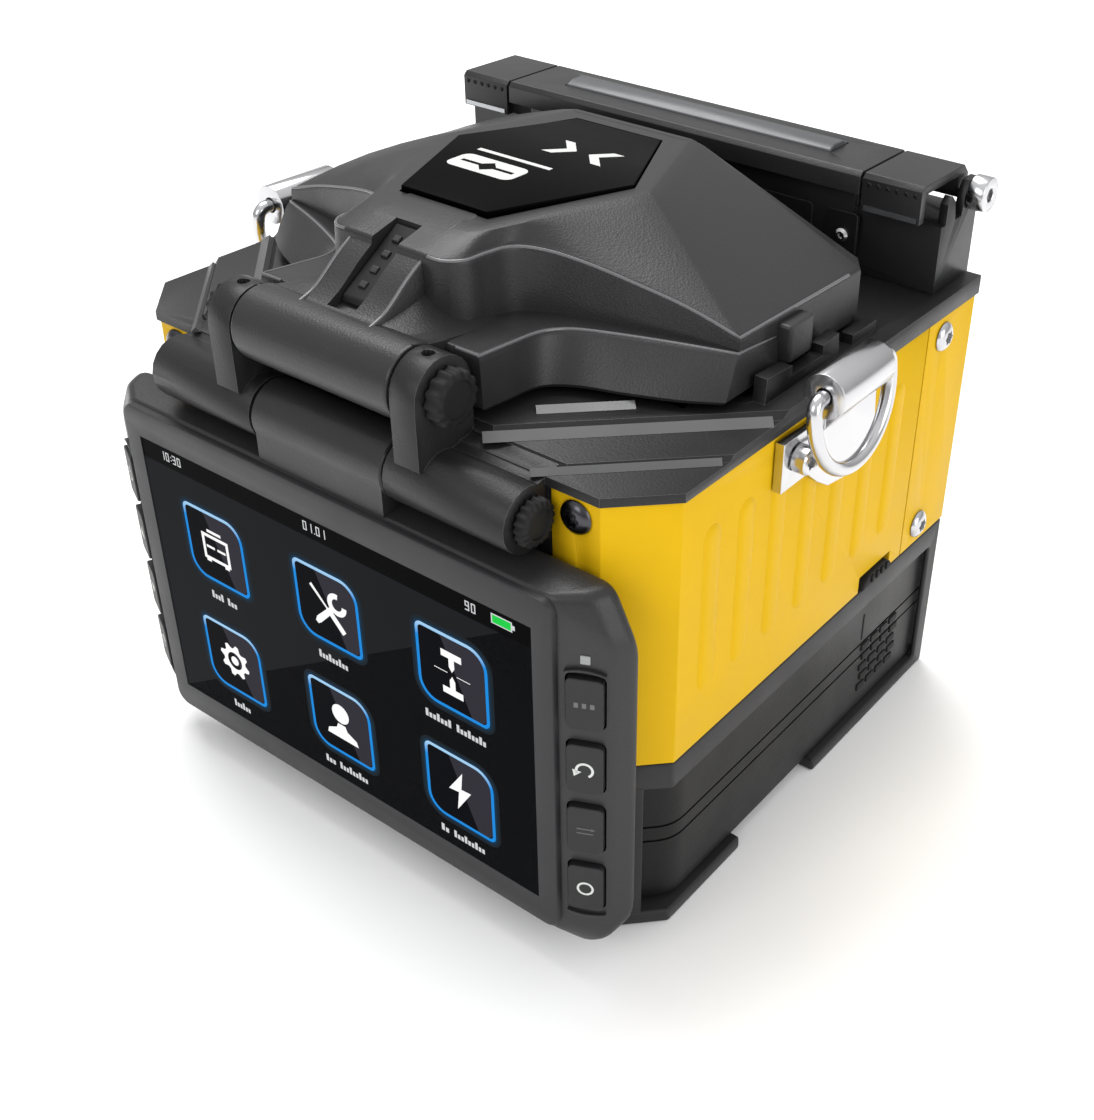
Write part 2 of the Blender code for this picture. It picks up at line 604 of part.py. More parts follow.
def wind_cover():
    """The hinged wind cover: lip, tongue, flange and hump, hollow underneath."""
    base = [(x, y, COVER_BASE) for x, y in cover_base_plan()]
    shell = loft([closed_loop(base), closed_loop(cover_flange_plan())])
    cover = new_object("wind_cover", shell, "black_shell", (0, COVER_Y, COVER_Z))
    foot, edge, rim = cover_hump_loops()
    join(cover, loft([closed_loop(foot), closed_loop(edge), closed_loop(rim)]))
    lip = circle((COVER_Y, COVER_Z), LIP_R, 12, 270, -150)
    shoulder = lip + [(-50.0, 122.9), (-44.0, 125.4), (-44.0, COVER_BASE + 1), (-50.0, COVER_BASE + 1)]
    join(
        cover,
        prism(shoulder, -LIP_X, LIP_X, "x"),
        prism(tongue_profile(), -9.6, 9.6, "x"),
    )
    hollow = [[(x, y, z) for x, y in mirrored([(hx, front), (hx, rear)])] for hx, front, rear, z in (
        (57.5, -18.0, 25.0, COVER_BASE - 5), (57.5, -18.0, 25.0, 116.0), (53.0, -13.0, 24.0, 120.0),
        (15.0, -20.0, 22.0, 134.2))]
    front_hollow = [(-48.0, COVER_BASE - 5), (-48.0, 119.5), (-38.0, 126.0), (-30.0, 132.5), (-19.0, 133.5),
                    (-17.0, COVER_BASE - 5)]
    cut(
        cover,
        loft(hollow),
        prism(front_hollow, -7.5, 7.5, "x"),
        box((-26, -48, COVER_BASE - 5), (26, -17, 118.6)),
        prism([(-58, 124), (-54.6, 128.8), (-38.4, 139), (-38.4, 133.6), (-53.8, 124)], -3.3, 3.3, "x"),
        cylinder((COVER_Y, COVER_Z), COVER_PIN_R + RUN, -40, 40, "x", 16),
        prism(label_outline(0.3), 136.2, 145),
    )
    for sign in (1, -1):
        x0, x1 = sorted((sign * 59.6, sign * 63.6))
        join(cover, box((x0, -3.6, 112.4), (x1, 5.6, 120.8)))
    return cover


def label_outline(grow=0.0):
    """The six-sided label, drawn from its front edge to its rear edge."""
    return mirrored([(11.2 + grow, -29.2 - grow), (23.4 + grow, 0.0), (11.4 + grow, 25.2 + grow)])


def cover_trim():
    """The label plate in the cover's top and the grip strip in its slot."""
    new_object("cover_label", prism(label_outline(), 136.5, 138.1), "label_gloss")
    grip = [(-54.2, 124.6), (-53.6, 126.0), (-38.9, 135.4), (-38.9, 134.0)]
    new_object("cover_grip", prism(grip, -3.0, 3.0, "x"), "rubber")


def fiber_presser():
    """The bar under the cover with two sprung feet that press the fibres into the grooves."""
    bar = new_object("fiber_presser", box((-11, -5, 113.6), (11, 5, 116.0)), "aluminium")
    for sign in (1, -1):
        join(bar, cylinder((sign * 6.5, 0), 1.6, SPLICE_Z + 1.2, 114.5, "z", 12))
    join(bar, box((-4, -18.9, 113.6), (4, 3, 116.0)), box((-4, -21.0, 113.6), (4, -18.4, 117.5)))
    return bar


def cover_hinge():
    """The cover's hinge pin and its two knurled end caps outside the ears."""
    reach = EAR_OUT - 0.4
    pin = cylinder((COVER_Y, COVER_Z), COVER_PIN_R, -reach, reach, "x", 16)
    new_object("cover_hinge_pin", pin, "steel")
    for sign in (1, -1):
        knob = [(sign * (EAR_OUT + GAP), 5.6), (sign * (EAR_OUT + 3.2), 5.6), (sign * (EAR_OUT + 3.8), 4.8)]
        new_object(f"cover_knob_{side_name(sign)}", turned(knob, (COVER_Y, COVER_Z), "x", 20), "rubber")


# ---------------------------------------------------------------- splicing well
def splicing_unit():
    """Groove block, electrodes with their clamps, and the two objectives aimed at the arc gap."""
    floor = WELL_FLOOR + GAP
    block = new_object("v_groove_block", box((-10, -3.6, floor), (10, 3.6, floor + 1.8)), "aluminium")
    for sign in (1, -1):
        x0, x1 = sorted((sign * 3.6, sign * 8.6))
        join(block, box((x0, -3.2, floor + 1), (x1, 3.2, SPLICE_Z)))
        groove = [(-0.9, SPLICE_Z + 0.5), (0.9, SPLICE_Z + 0.5), (0, SPLICE_Z - 0.7)]
        cut(block, prism(groove, *sorted((sign * 2, sign * 10)), "x"))
    for name, sign in (("front", -1), ("rear", 1)):
        tip = [(sign * 1.3, 0.12), (sign * 3.6, 1.0), (sign * 21.5, 1.0)]
        new_object(f"electrode_{name}", turned(tip, (0, SPLICE_Z), "y", 12), "tungsten")
        y0, y1 = sorted((sign * 12.5, sign * 19.5))
        body = box((-4, y0, floor), (4, y1, SPLICE_Z + 2.6))
        holder = new_object(f"electrode_clamp_{name}", body, "aluminium")
        cut(holder, cylinder((0, SPLICE_Z), 1.0 + GAP, -40, 40, "y", 12))
        lens = turned([(-10.2, 2.4), (-5.8, 2.4), (-5.8, 1.8), (-4.6, 1.8)], (0, 0), "z", 16)
        turn(lens, sign * 45.0, (0, 0, 0), "x")
        bmesh.ops.translate(lens, vec=(0, 0, SPLICE_Z), verts=lens.verts)
        new_object(f"objective_{name}", lens, "rubber")


def fiber_stage(sign):
    """A motor-driven carriage that holds one fibre, with its hinged sheath clamp."""
    side = side_name(sign)
    low, high = sorted((sign * STAGE_X[0], sign * STAGE_X[1]))
    floor = WELL_FLOOR + GAP
    stage = new_object(f"fiber_stage_{side}", box((low, -9, floor), (high, 9, SPLICE_Z - 1.0)), "aluminium")
    groove = [(-1.2, SPLICE_Z), (1.2, SPLICE_Z), (0, SPLICE_Z - 2.2)]
    cut(stage, prism(groove, low - 2, high + 2, "x"))
    y, z = CLAMP_HINGE
    x0, x1 = sorted((sign * 19.5, sign * 38))
    plate = box((x0, -8.6, SPLICE_Z - 0.6), (x1, 8.0, SPLICE_Z + 2.4))
    lid = new_object(f"sheath_clamp_{side}", plate, "black_shell", (0, y, z))
    join(lid, cylinder((y, z), 1.4, x0, x1, "x", 12))
    return stage


def electronics():
    """The main circuit board and the high-voltage unit that feeds the electrodes."""
    board = new_object("main_board", box((-58, -46, 50), (58, 58, 51.6)), "circuit_green")
    join(board, box((-30, -20, 51), (-8, 2, 55)), box((14, 10, 51), (44, 40, 57)))
    new_object("arc_transformer", box((-48, 12, 52.2), (-14, 46, 76)), "copper")


# ---------------------------------------------------------------- heater
def heater_tower():
    """The rear tower: a hollow box with end posts whose notches guide the fibre."""
    low = DECK_C + GAP
    tower = new_object("heater_tower", box((-POST_X[1], 51.0, low), (POST_X[1], 67.6, 124.6)), "deck_black")
    for sign in (1, -1):
        x0, x1 = sorted((sign * POST_X[0], sign * POST_X[1]))
        post = [(52.8, 112), (67.6, 112), (67.6, 129.0), (66.4, 131.9), (62.6, 131.9), (61.0, 128.8),
                (60.0, 123.5), (58.0, 122.0), (56.4, 129.0), (54.6, 130.6), (53.0, 129.0)]
        join(tower, prism(post, x0, x1, "x"))
    join(tower, box((-46, 49.4, 112), (46, 52, 128.2)))
    cut(
        tower,
        box((-62, 53.4, low - 5), (62, 65.4, 117)),
        box((-49.4, 51.6, 119.4), (49.4, 64.6, 130)),
        cylinder((HEATER_Y, HEATER_Z), 1.5 + RUN, -80, 80, "x", 16),
    )
    return tower


def heater_plate():
    """The heated metal trough that the splice sleeve lies in."""
    y = TROUGH_Y
    plate = new_object("heater_plate", box((-48.6, y - 4.2, 119.7), (48.6, y + 4.2, 128.4)), "aluminium")
    cut(plate, prism([(y - 3.0, 132), (y + 3.0, 132), (y + 2.4, 123.2), (y - 2.4, 123.2)], -60, 60, "x"))
    return plate


def heater_lid_shape(name, x0, x1, skirt):
    """A heater cover over the trough, hinged at its rear edge: a top plate, a front skirt and a rear eye."""
    y, z = HEATER_Y, HEATER_Z
    top = LID_TOP
    front, rear = HEATER_FRONT, HEATER_REAR
    profile = [(front, skirt), (front, top - 1.0), (front + 1.0, top), (rear - 2.2, top), (rear, top - 2.2)]
    profile.append((rear + 0.2, z))
    profile += circle((y, z), 2.2, 5, 0, -180)
    profile += [(y - 2.6, top - 2.0), (front + 2.2, top - 2.0), (front + 2.2, skirt)]
    return new_object(name, prism(profile, x0, x1, "x"), "black_shell", (0, y, z))


def heater():
    """The lid with its window, and the clamp at each end of the heater."""
    lid = heater_lid_shape("heater_lid", -LID_X, LID_X, LID_LOW)
    hole = cylinder((HEATER_Y, HEATER_Z), 1.5 + RUN, -80, 80, "x", 16)
    cut(lid, hole, box((-37.5, 52.2, 125), (37.5, 60.4, 140)))
    low, shoulder, crown = LID_TOP - 2.0, LID_TOP + 0.2, LID_TOP + 1.1
    window = [(52.5, low), (52.5, shoulder), (54.5, crown), (58.1, crown), (60.1, shoulder), (60.1, low)]
    new_object("heater_window", prism(window, -37.2, 37.2, "x"), "window_smoke")
    for sign in (1, -1):
        x0, x1 = sorted((sign * CLAMP_X[0], sign * CLAMP_X[1]))
        clamp = heater_lid_shape(f"heater_clamp_{side_name(sign)}", x0, x1, 126.2)
        cut(clamp, cylinder((HEATER_Y, HEATER_Z), 1.5 + RUN, -80, 80, "x", 16))
    head = [(-66.6, 1.5), (66.8, 1.5), (66.8, 3.9), (70.6, 3.9)]
    screw = new_object("heater_hinge_screw", turned(head, (HEATER_Y, HEATER_Z), "x", 16), "steel")
    cut(screw, turned([(68.8, 1.6), (73, 1.6)], (HEATER_Y, HEATER_Z), "x", 6))


# ---------------------------------------------------------------- battery
def battery_pack():
    """The battery, which slides out to the rear. Its sides show through the frame's windows."""
    half, low, high = BAY_X - GAP, BAY_FLOOR + GAP, BAY_ROOF - GAP
    front = FRONT + 3.0 + GAP
    outline = mirrored([(half - CORNER, front), (half, front + CORNER), (half, REAR)])
    pack = new_object("battery_pack", prism(outline, low, high), "deck_black")
    cut(pack, box((-20, REAR - 5, 14), (20, REAR + 5, 26)))
    return pack


# ---------------------------------------------------------------- the whole object
def build():
    """Makes every piece."""
    clear_scene()
    base_frame()
    rear_panel()
    panel_screws()
    port_cover()
    top_deck()
    for sign in (1, -1):
        side_panel(sign)
        strap_bracket(sign)
        bracket_screw(sign)
        strap_ring(sign)
        fiber_stage(sign)
    monitor_case()
    monitor_bezel()
    lcd_panel()
    monitor_buttons()
    monitor_hinge()
    wind_cover()
    cover_trim()
    fiber_presser()
    cover_hinge()
    splicing_unit()
    electronics()
    heater_tower()
    heater_plate()
    heater()
    battery_pack()


build()
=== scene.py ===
"""The looks of a hand-carried fiber fusion splicer.

Every length handed to a method is in millimetres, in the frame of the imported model: X across the
monitor, Y from the monitor to the heater, Z up. Meshes are stored in metres.
"""

import json
import logging
import math
from collections.abc import Sequence
from dataclasses import dataclass, field
from enum import Enum

import bmesh
import bpy
from mathutils import Matrix, Vector

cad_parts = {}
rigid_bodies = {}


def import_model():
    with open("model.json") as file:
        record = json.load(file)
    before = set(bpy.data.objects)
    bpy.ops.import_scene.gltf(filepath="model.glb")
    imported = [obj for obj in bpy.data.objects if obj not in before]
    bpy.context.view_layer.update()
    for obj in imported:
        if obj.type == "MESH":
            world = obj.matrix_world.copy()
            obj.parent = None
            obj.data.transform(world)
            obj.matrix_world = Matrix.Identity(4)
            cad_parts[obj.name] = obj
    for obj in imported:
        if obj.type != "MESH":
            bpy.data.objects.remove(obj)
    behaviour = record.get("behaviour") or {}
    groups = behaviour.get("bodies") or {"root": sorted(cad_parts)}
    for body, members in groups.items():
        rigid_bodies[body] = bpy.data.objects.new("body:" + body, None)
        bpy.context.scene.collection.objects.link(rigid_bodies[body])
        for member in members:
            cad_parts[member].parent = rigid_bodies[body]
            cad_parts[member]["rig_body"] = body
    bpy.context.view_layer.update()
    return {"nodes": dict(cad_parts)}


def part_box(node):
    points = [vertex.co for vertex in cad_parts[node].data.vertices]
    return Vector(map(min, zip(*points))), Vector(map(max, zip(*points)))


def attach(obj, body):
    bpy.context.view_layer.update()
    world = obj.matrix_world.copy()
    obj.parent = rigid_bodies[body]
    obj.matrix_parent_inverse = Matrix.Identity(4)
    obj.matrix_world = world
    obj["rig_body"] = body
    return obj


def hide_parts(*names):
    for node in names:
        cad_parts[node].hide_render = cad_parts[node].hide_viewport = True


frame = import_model()
LOG = logging.getLogger("splicer")
MM = 0.001

Point2 = tuple[float, float]
Point3 = tuple[float, float, float]
SIDES: dict[str, int] = {"right": 1, "left": -1}


# ---------------------------------------------------------------- finishes
def linear(code: str) -> tuple[float, float, float, float]:
    """Turns an sRGB hex colour into the linear colour that shaders use.

    Args:
        code: Six hex digits, such as "ecb41c".

    Returns:
        Red, green, blue and an alpha of 1.
    """
    parts = [int(code[i : i + 2], 16) / 255 for i in (0, 2, 4)]
    red, green, blue = (c / 12.92 if c <= 0.04045 else ((c + 0.055) / 1.055) ** 2.4 for c in parts)
    return red, green, blue, 1.0


def add_node(
    tree: bpy.types.NodeTree, kind: str, settings: dict | None = None, links: dict | None = None
) -> bpy.types.Node:
    """Adds one shader node, sets it and wires it.

    Args:
        tree: The node tree to add to.
        kind: Blender's name of the node.
        settings: Input values by socket name, or attributes of the node.
        links: Output sockets by the name of the input that each one feeds.

    Returns:
        The new node.
    """
    node = tree.nodes.new(kind)
    for key, value in (settings or {}).items():
        if key in node.inputs:
            node.inputs[key].default_value = value
        else:
            setattr(node, key, value)
    for key, output in (links or {}).items():
        tree.links.new(output, node.inputs[key])
    return node


@dataclass(frozen=True)
class Finish:
    """A surface finish: a Principled shader with a grain in its relief and a slow drift in its gloss."""

    name: str
    colour: str
    roughness: float
    metallic: float = 0.0
    ior: float = 1.5
    grain_mm: float = 0.6
    grain_depth_mm: float = 0.0
    gloss_drift: float = 0.05
    shade_drift: float = 0.06
    drift_mm: float = 14.0
    specular: float = 0.5
    slot: str = "black_shell"

    def material(self) -> bpy.types.Material:
        """Builds the material, or finds it if it was built before.

        Returns:
            The Blender material.
        """
        found = bpy.data.materials.get(self.name)
        if found:
            return found
        made = bpy.data.materials.new(self.name)
        made.use_nodes = True
        tree = made.node_tree
        shader = tree.nodes["Principled BSDF"]
        shader.inputs["Metallic"].default_value = self.metallic
        if not self.metallic:
            shader.inputs["IOR"].default_value = self.ior
            shader.inputs["Specular IOR Level"].default_value = self.specular
        place = add_node(tree, "ShaderNodeTexCoord")
        self.paint(tree, shader, place)
        return made

    def paint(self, tree: bpy.types.NodeTree, shader: bpy.types.Node, place: bpy.types.Node) -> None:
        """Wires the colour, the gloss and the relief into the shader.

        Args:
            tree: The material's node tree.
            shader: The Principled shader.
            place: The texture coordinate node.
        """
        at = place.outputs["Object"]
        drift = {"Scale": 1.0 / (self.drift_mm * MM), "Detail": 4.0, "Roughness": 0.6}
        cloud = add_node(tree, "ShaderNodeTexNoise", drift, {"Vector": at})
        base = linear(self.colour)
        low = tuple(c * (1 - self.shade_drift) for c in base[:3]) + (1.0,)
        high = tuple(min(1.0, c * (1 + self.shade_drift)) for c in base[:3]) + (1.0,)
        tint = add_node(tree, "ShaderNodeMix", {"data_type": "RGBA"})
        tint.inputs[6].default_value, tint.inputs[7].default_value = low, high
        tree.links.new(cloud.outputs["Fac"], tint.inputs[0])
        tree.links.new(tint.outputs[2], shader.inputs["Base Color"])
        limits = {
            "From Min": 0.3,
            "From Max": 0.7,
            "To Min": max(0.02, self.roughness - self.gloss_drift),
            "To Max": min(1.0, self.roughness + self.gloss_drift),
        }
        gloss = add_node(tree, "ShaderNodeMapRange", limits, {"Value": cloud.outputs["Fac"]})
        tree.links.new(gloss.outputs["Result"], shader.inputs["Roughness"])
        if self.grain_depth_mm:
            height = self.relief(tree, at)
            depth = {"Strength": 1.0, "Distance": self.grain_depth_mm * MM}
            bump = add_node(tree, "ShaderNodeBump", depth, {"Height": height})
            tree.links.new(bump.outputs["Normal"], shader.inputs["Normal"])

    def relief(self, tree: bpy.types.NodeTree, at: bpy.types.NodeSocket) -> bpy.types.NodeSocket:
        """The height of the grain.

        Args:
            tree: The material's node tree.
            at: The coordinates to sample at.

        Returns:
            The socket that carries the height.
        """
        settings = {"Scale": 1.0 / (self.grain_mm * MM), "Detail": 3.0, "Roughness": 0.7}
        return add_node(tree, "ShaderNodeTexNoise", settings, {"Vector": at}).outputs["Fac"]


@dataclass(frozen=True)
class PebbledFinish(Finish):
    """A finish whose relief is a field of rounded pebbles, as etched moulds and powder coats leave."""

    def relief(self, tree: bpy.types.NodeTree, at: bpy.types.NodeSocket) -> bpy.types.NodeSocket:
        """The height of the pebbles: low at each cell's middle, high at its edge."""
        settings = {"Scale": 1.0 / (self.grain_mm * MM), "feature": "SMOOTH_F1", "Smoothness": 0.6}
        return add_node(tree, "ShaderNodeTexVoronoi", settings, {"Vector": at}).outputs["Distance"]


@dataclass(frozen=True)
class BrushedFinish(Finish):
    """A metal finish whose relief is fine scratches along one axis."""

    along: str = "x"

    def relief(self, tree: bpy.types.NodeTree, at: bpy.types.NodeSocket) -> bpy.types.NodeSocket:
        """The height of the scratches, which is noise stretched fifty times along the brushing."""
        stretch = tuple(0.02 if axis == self.along else 1.0 for axis in "xyz")
        squeezed = add_node(tree, "ShaderNodeMapping", {"Scale": stretch}, {"Vector": at})
        return super().relief(tree, squeezed.outputs["Vector"])


@dataclass(frozen=True)
class WovenFinish(Finish):
    """A finish with parallel ridges, such as windings of wire or the treads of rubber."""

    pitch_mm: float = 0.8

    def relief(self, tree: bpy.types.NodeTree, at: bpy.types.NodeSocket) -> bpy.types.NodeSocket:
        """The height of the ridges: one sine wave for each pitch."""
        scale = 2 * math.pi / (20 * self.pitch_mm * MM)
        settings = {"Scale": scale, "bands_direction": "Z", "Distortion": 0.0}
        return add_node(tree, "ShaderNodeTexWave", settings, {"Vector": at}).outputs["Fac"]


@dataclass(frozen=True)
class LitFinish:
    """A lit part of the screen: its light comes from the panel behind the glass."""

    name: str
    colour: str
    strength: float = 1.0
    faded_to: str = ""
    fade_mm: tuple[float, float] = (0.0, 1.0)
    slot: str = "screen_glass"

    def material(self) -> bpy.types.Material:
        """Builds the material, or finds it if it was built before.

        Returns:
            The Blender material.
        """
        found = bpy.data.materials.get(self.name)
        if found:
            return found
        made = bpy.data.materials.new(self.name)
        made.use_nodes = True
        tree = made.node_tree
        shader = tree.nodes["Principled BSDF"]
        shader.inputs["Base Color"].default_value = linear("050506")
        shader.inputs["Roughness"].default_value = 0.35
        shader.inputs["Specular IOR Level"].default_value = 0.008
        shader.inputs["Emission Strength"].default_value = self.strength
        shader.inputs["Emission Color"].default_value = linear(self.colour)
        if self.faded_to:
            place = add_node(tree, "ShaderNodeTexCoord")
            split = add_node(tree, "ShaderNodeSeparateXYZ", None, {"Vector": place.outputs["Object"]})
            limits = {"From Min": self.fade_mm[0] * MM, "From Max": self.fade_mm[1] * MM}
            ramp = add_node(tree, "ShaderNodeMapRange", limits, {"Value": split.outputs["Z"]})
            tint = add_node(tree, "ShaderNodeMix", {"data_type": "RGBA"})
            tint.inputs[6].default_value = linear(self.colour)
            tint.inputs[7].default_value = linear(self.faded_to)
            tree.links.new(ramp.outputs["Result"], tint.inputs[0])
            tree.links.new(tint.outputs[2], shader.inputs["Emission Color"])
        return made


class Stock(Enum):
    """The finishes that the splicer is made in."""

    # Moulded ABS from a spark-etched tool: dark satin with a fine pebble that softens every highlight.
    # The real etch is about 0.15 mm across; it is drawn at 0.45 mm so that it shows.
    SHELL = PebbledFinish(
        "etched_abs_graphite", "272728", 0.38, grain_mm=0.45, grain_depth_mm=0.03, specular=0.36
    )
    # The same moulding, painted paler for the cover's edges as a painted highlight, and glossy, so a tight
    # highlight shows on it too.
    EDGE = Finish("painted_highlight_cover_edge", "5e5e60", 0.2, grain_mm=0.5, grain_depth_mm=0.01, specular=0.6)
    # Moulded ABS: the deck, coloured darker than the shell, with a slightly coarser etch that looks almost
    # black.
    DECK = PebbledFinish(
        "etched_abs_black", "1e1e1f", 0.42, grain_mm=0.5, grain_depth_mm=0.03, specular=0.3, slot="deck_black"
    )
    # Paler ABS for the deck's edges: a painted highlight on its rounded edges and on the slanted edges of its
    # steps.
    DECK_EDGE = Finish(
        "painted_highlight_deck_edge", "565657", 0.36, grain_mm=0.5, grain_depth_mm=0.02, slot="deck_black"
    )
    # Glass-filled nylon: the frame and the tower, matt with a faint mottle from the fibres.
    FRAME = Finish(
        "glass_filled_nylon", "242426", 0.46, grain_mm=0.6, grain_depth_mm=0.03, shade_drift=0.1,
        specular=0.35,
        slot="frame_grey",
    )
    TOWER = Finish(
        "glass_filled_nylon_black", "161617", 0.4, grain_mm=0.6, grain_depth_mm=0.03, specular=0.35,
        slot="deck_black"
    )
    # Moulded ABS with a shallower etch: the heater's covers, dark grey with long soft highlights.
    LID = PebbledFinish(
        "etched_abs_heater", "212122", 0.34, grain_mm=0.45, grain_depth_mm=0.02, specular=0.4,
        slot="black_shell"
    )
    PACK = PebbledFinish("etched_abs_pack", "0f0f10", 0.4, grain_mm=0.6, grain_depth_mm=0.03, specular=0.24)
    # Powder-coated steel: saturated yellow with a low orange peel, so highlights break up softly.
    PANEL = PebbledFinish(
        "powder_coated_steel_yellow", "d4a910", 0.44, grain_mm=1.1, grain_depth_mm=0.015, specular=0.08,
        slot="yellow_panel",
    )
    # Satin chrome over steel: bright, with the slow waviness of bent stock.
    CHROME = Finish(
        "satin_chrome_steel", "c9c9cb", 0.2, 1.0, grain_mm=6.0, grain_depth_mm=0.02, gloss_drift=0.05,
        slot="steel"
    )
    # Nickel-plated screws: softer than chrome, with a trace of the drawn wire.
    SCREW = Finish(
        "nickel_plated_steel", "c6c6c8", 0.24, 1.0, grain_mm=0.4, grain_depth_mm=0.004, slot="steel"
    )
    # Dark zinc-plated screws in the front flange.
    DARK_SCREW = Finish(
        "black_zinc_steel", "4a4a4e", 0.24, 1.0, grain_mm=0.4, grain_depth_mm=0.004, slot="steel"
    )
    # Moulded silicone rubber: keys and grips, matt black, with a broad dull sheen.
    KEY = Finish(
        "silicone_rubber_black", "18181a", 0.5, grain_mm=0.5, grain_depth_mm=0.015, specular=0.4,
        slot="rubber"
    )
    RUBBER = Finish(
        "nitrile_rubber_black", "121213", 0.66, grain_mm=0.5, grain_depth_mm=0.03, specular=0.3, slot="rubber"
    )
    # Cast acrylic over a printed back: the label, deep black, with only a faint sheen.
    LABEL = Finish(
        "acrylic_label_black", "010101", 0.3, grain_mm=9.0, grain_depth_mm=0.003, gloss_drift=0.03,
        specular=0.02,
        slot="label_gloss",
    )
    PRINT = Finish("screen_print_grey", "c9cbc8", 0.5, grain_mm=0.3, grain_depth_mm=0.004, slot="label_gloss")
    PRINT_FAINT = Finish(
        "screen_print_worn", "5c5d5c", 0.5, grain_mm=0.3, grain_depth_mm=0.004, slot="rubber"
    )
    # Smoked polycarbonate: the heater window, greyer than the lid, with a dulled gloss.
    SMOKE = Finish(
        "smoked_polycarbonate", "4c4d4f", 0.34, ior=1.58, grain_mm=5.0, grain_depth_mm=0.01, specular=0.4,
        slot="window_smoke",
    )
    # Coated display glass: black behind, and it gives back almost no light.
    GLASS = Finish(
        "display_glass", "0c0c0e", 0.22, gloss_drift=0.01, shade_drift=0.02, specular=0.04,
        slot="screen_glass"
    )
    DIODE = Finish("diffused_light_pipe", "8d8f8f", 0.4, slot="screen_glass")
    # Bead-blasted aluminium: the splicing unit, pale with a silky grain.
    ALUMINIUM = Finish(
        "bead_blasted_aluminium", "b4b6b8", 0.36, 1.0, grain_mm=0.35, grain_depth_mm=0.006, slot="aluminium"
    )
    BRUSHED = BrushedFinish(
        "brushed_aluminium", "b0b2b5", 0.3, 1.0, grain_mm=0.3, grain_depth_mm=0.008, slot="aluminium"
    )
    TUNGSTEN = BrushedFinish(
        "ground_tungsten", "7d7e82", 0.28, 1.0, grain_mm=0.2, grain_depth_mm=0.005, along="y", slot="tungsten"
    )
    # Solder mask over glass laminate, and enamelled copper wire.
    BOARD = Finish(
        "solder_mask_green", "12452a", 0.35, grain_mm=1.5, grain_depth_mm=0.03, shade_drift=0.2,
        slot="circuit_green"
    )
    WINDING = WovenFinish(
        "enamelled_copper_winding", "8a4f26", 0.3, 1.0, grain_depth_mm=0.2, pitch_mm=0.8, slot="copper"
    )
    # Lit parts of the screen.
    SCREEN = LitFinish("lit_screen_ground", "1b1c1e")
    BAR = LitFinish("lit_screen_bar", "000000")
    HALO = LitFinish("lit_tile_halo", "12324a")
    HALO_FAINT = LitFinish("lit_tile_halo_faint", "1a242c")
    TILE = LitFinish("lit_tile_dark", "030409")
    TILE_SHEEN = LitFinish("lit_tile_sheen", "312f37")
    RIM_LOW = LitFinish("lit_tile_rim_lower", "1b8be0", faded_to="b4dcf8", fade_mm=(39.6, 43.4))
    RIM_HIGH = LitFinish("lit_tile_rim_upper", "1b8be0", faded_to="b4dcf8", fade_mm=(69.4, 73.2))
    WHITE = LitFinish("lit_white", "ffffff")
    CAPTION = LitFinish("lit_caption", "d2d4d6")
    GREEN = LitFinish("lit_green", "22d04a")


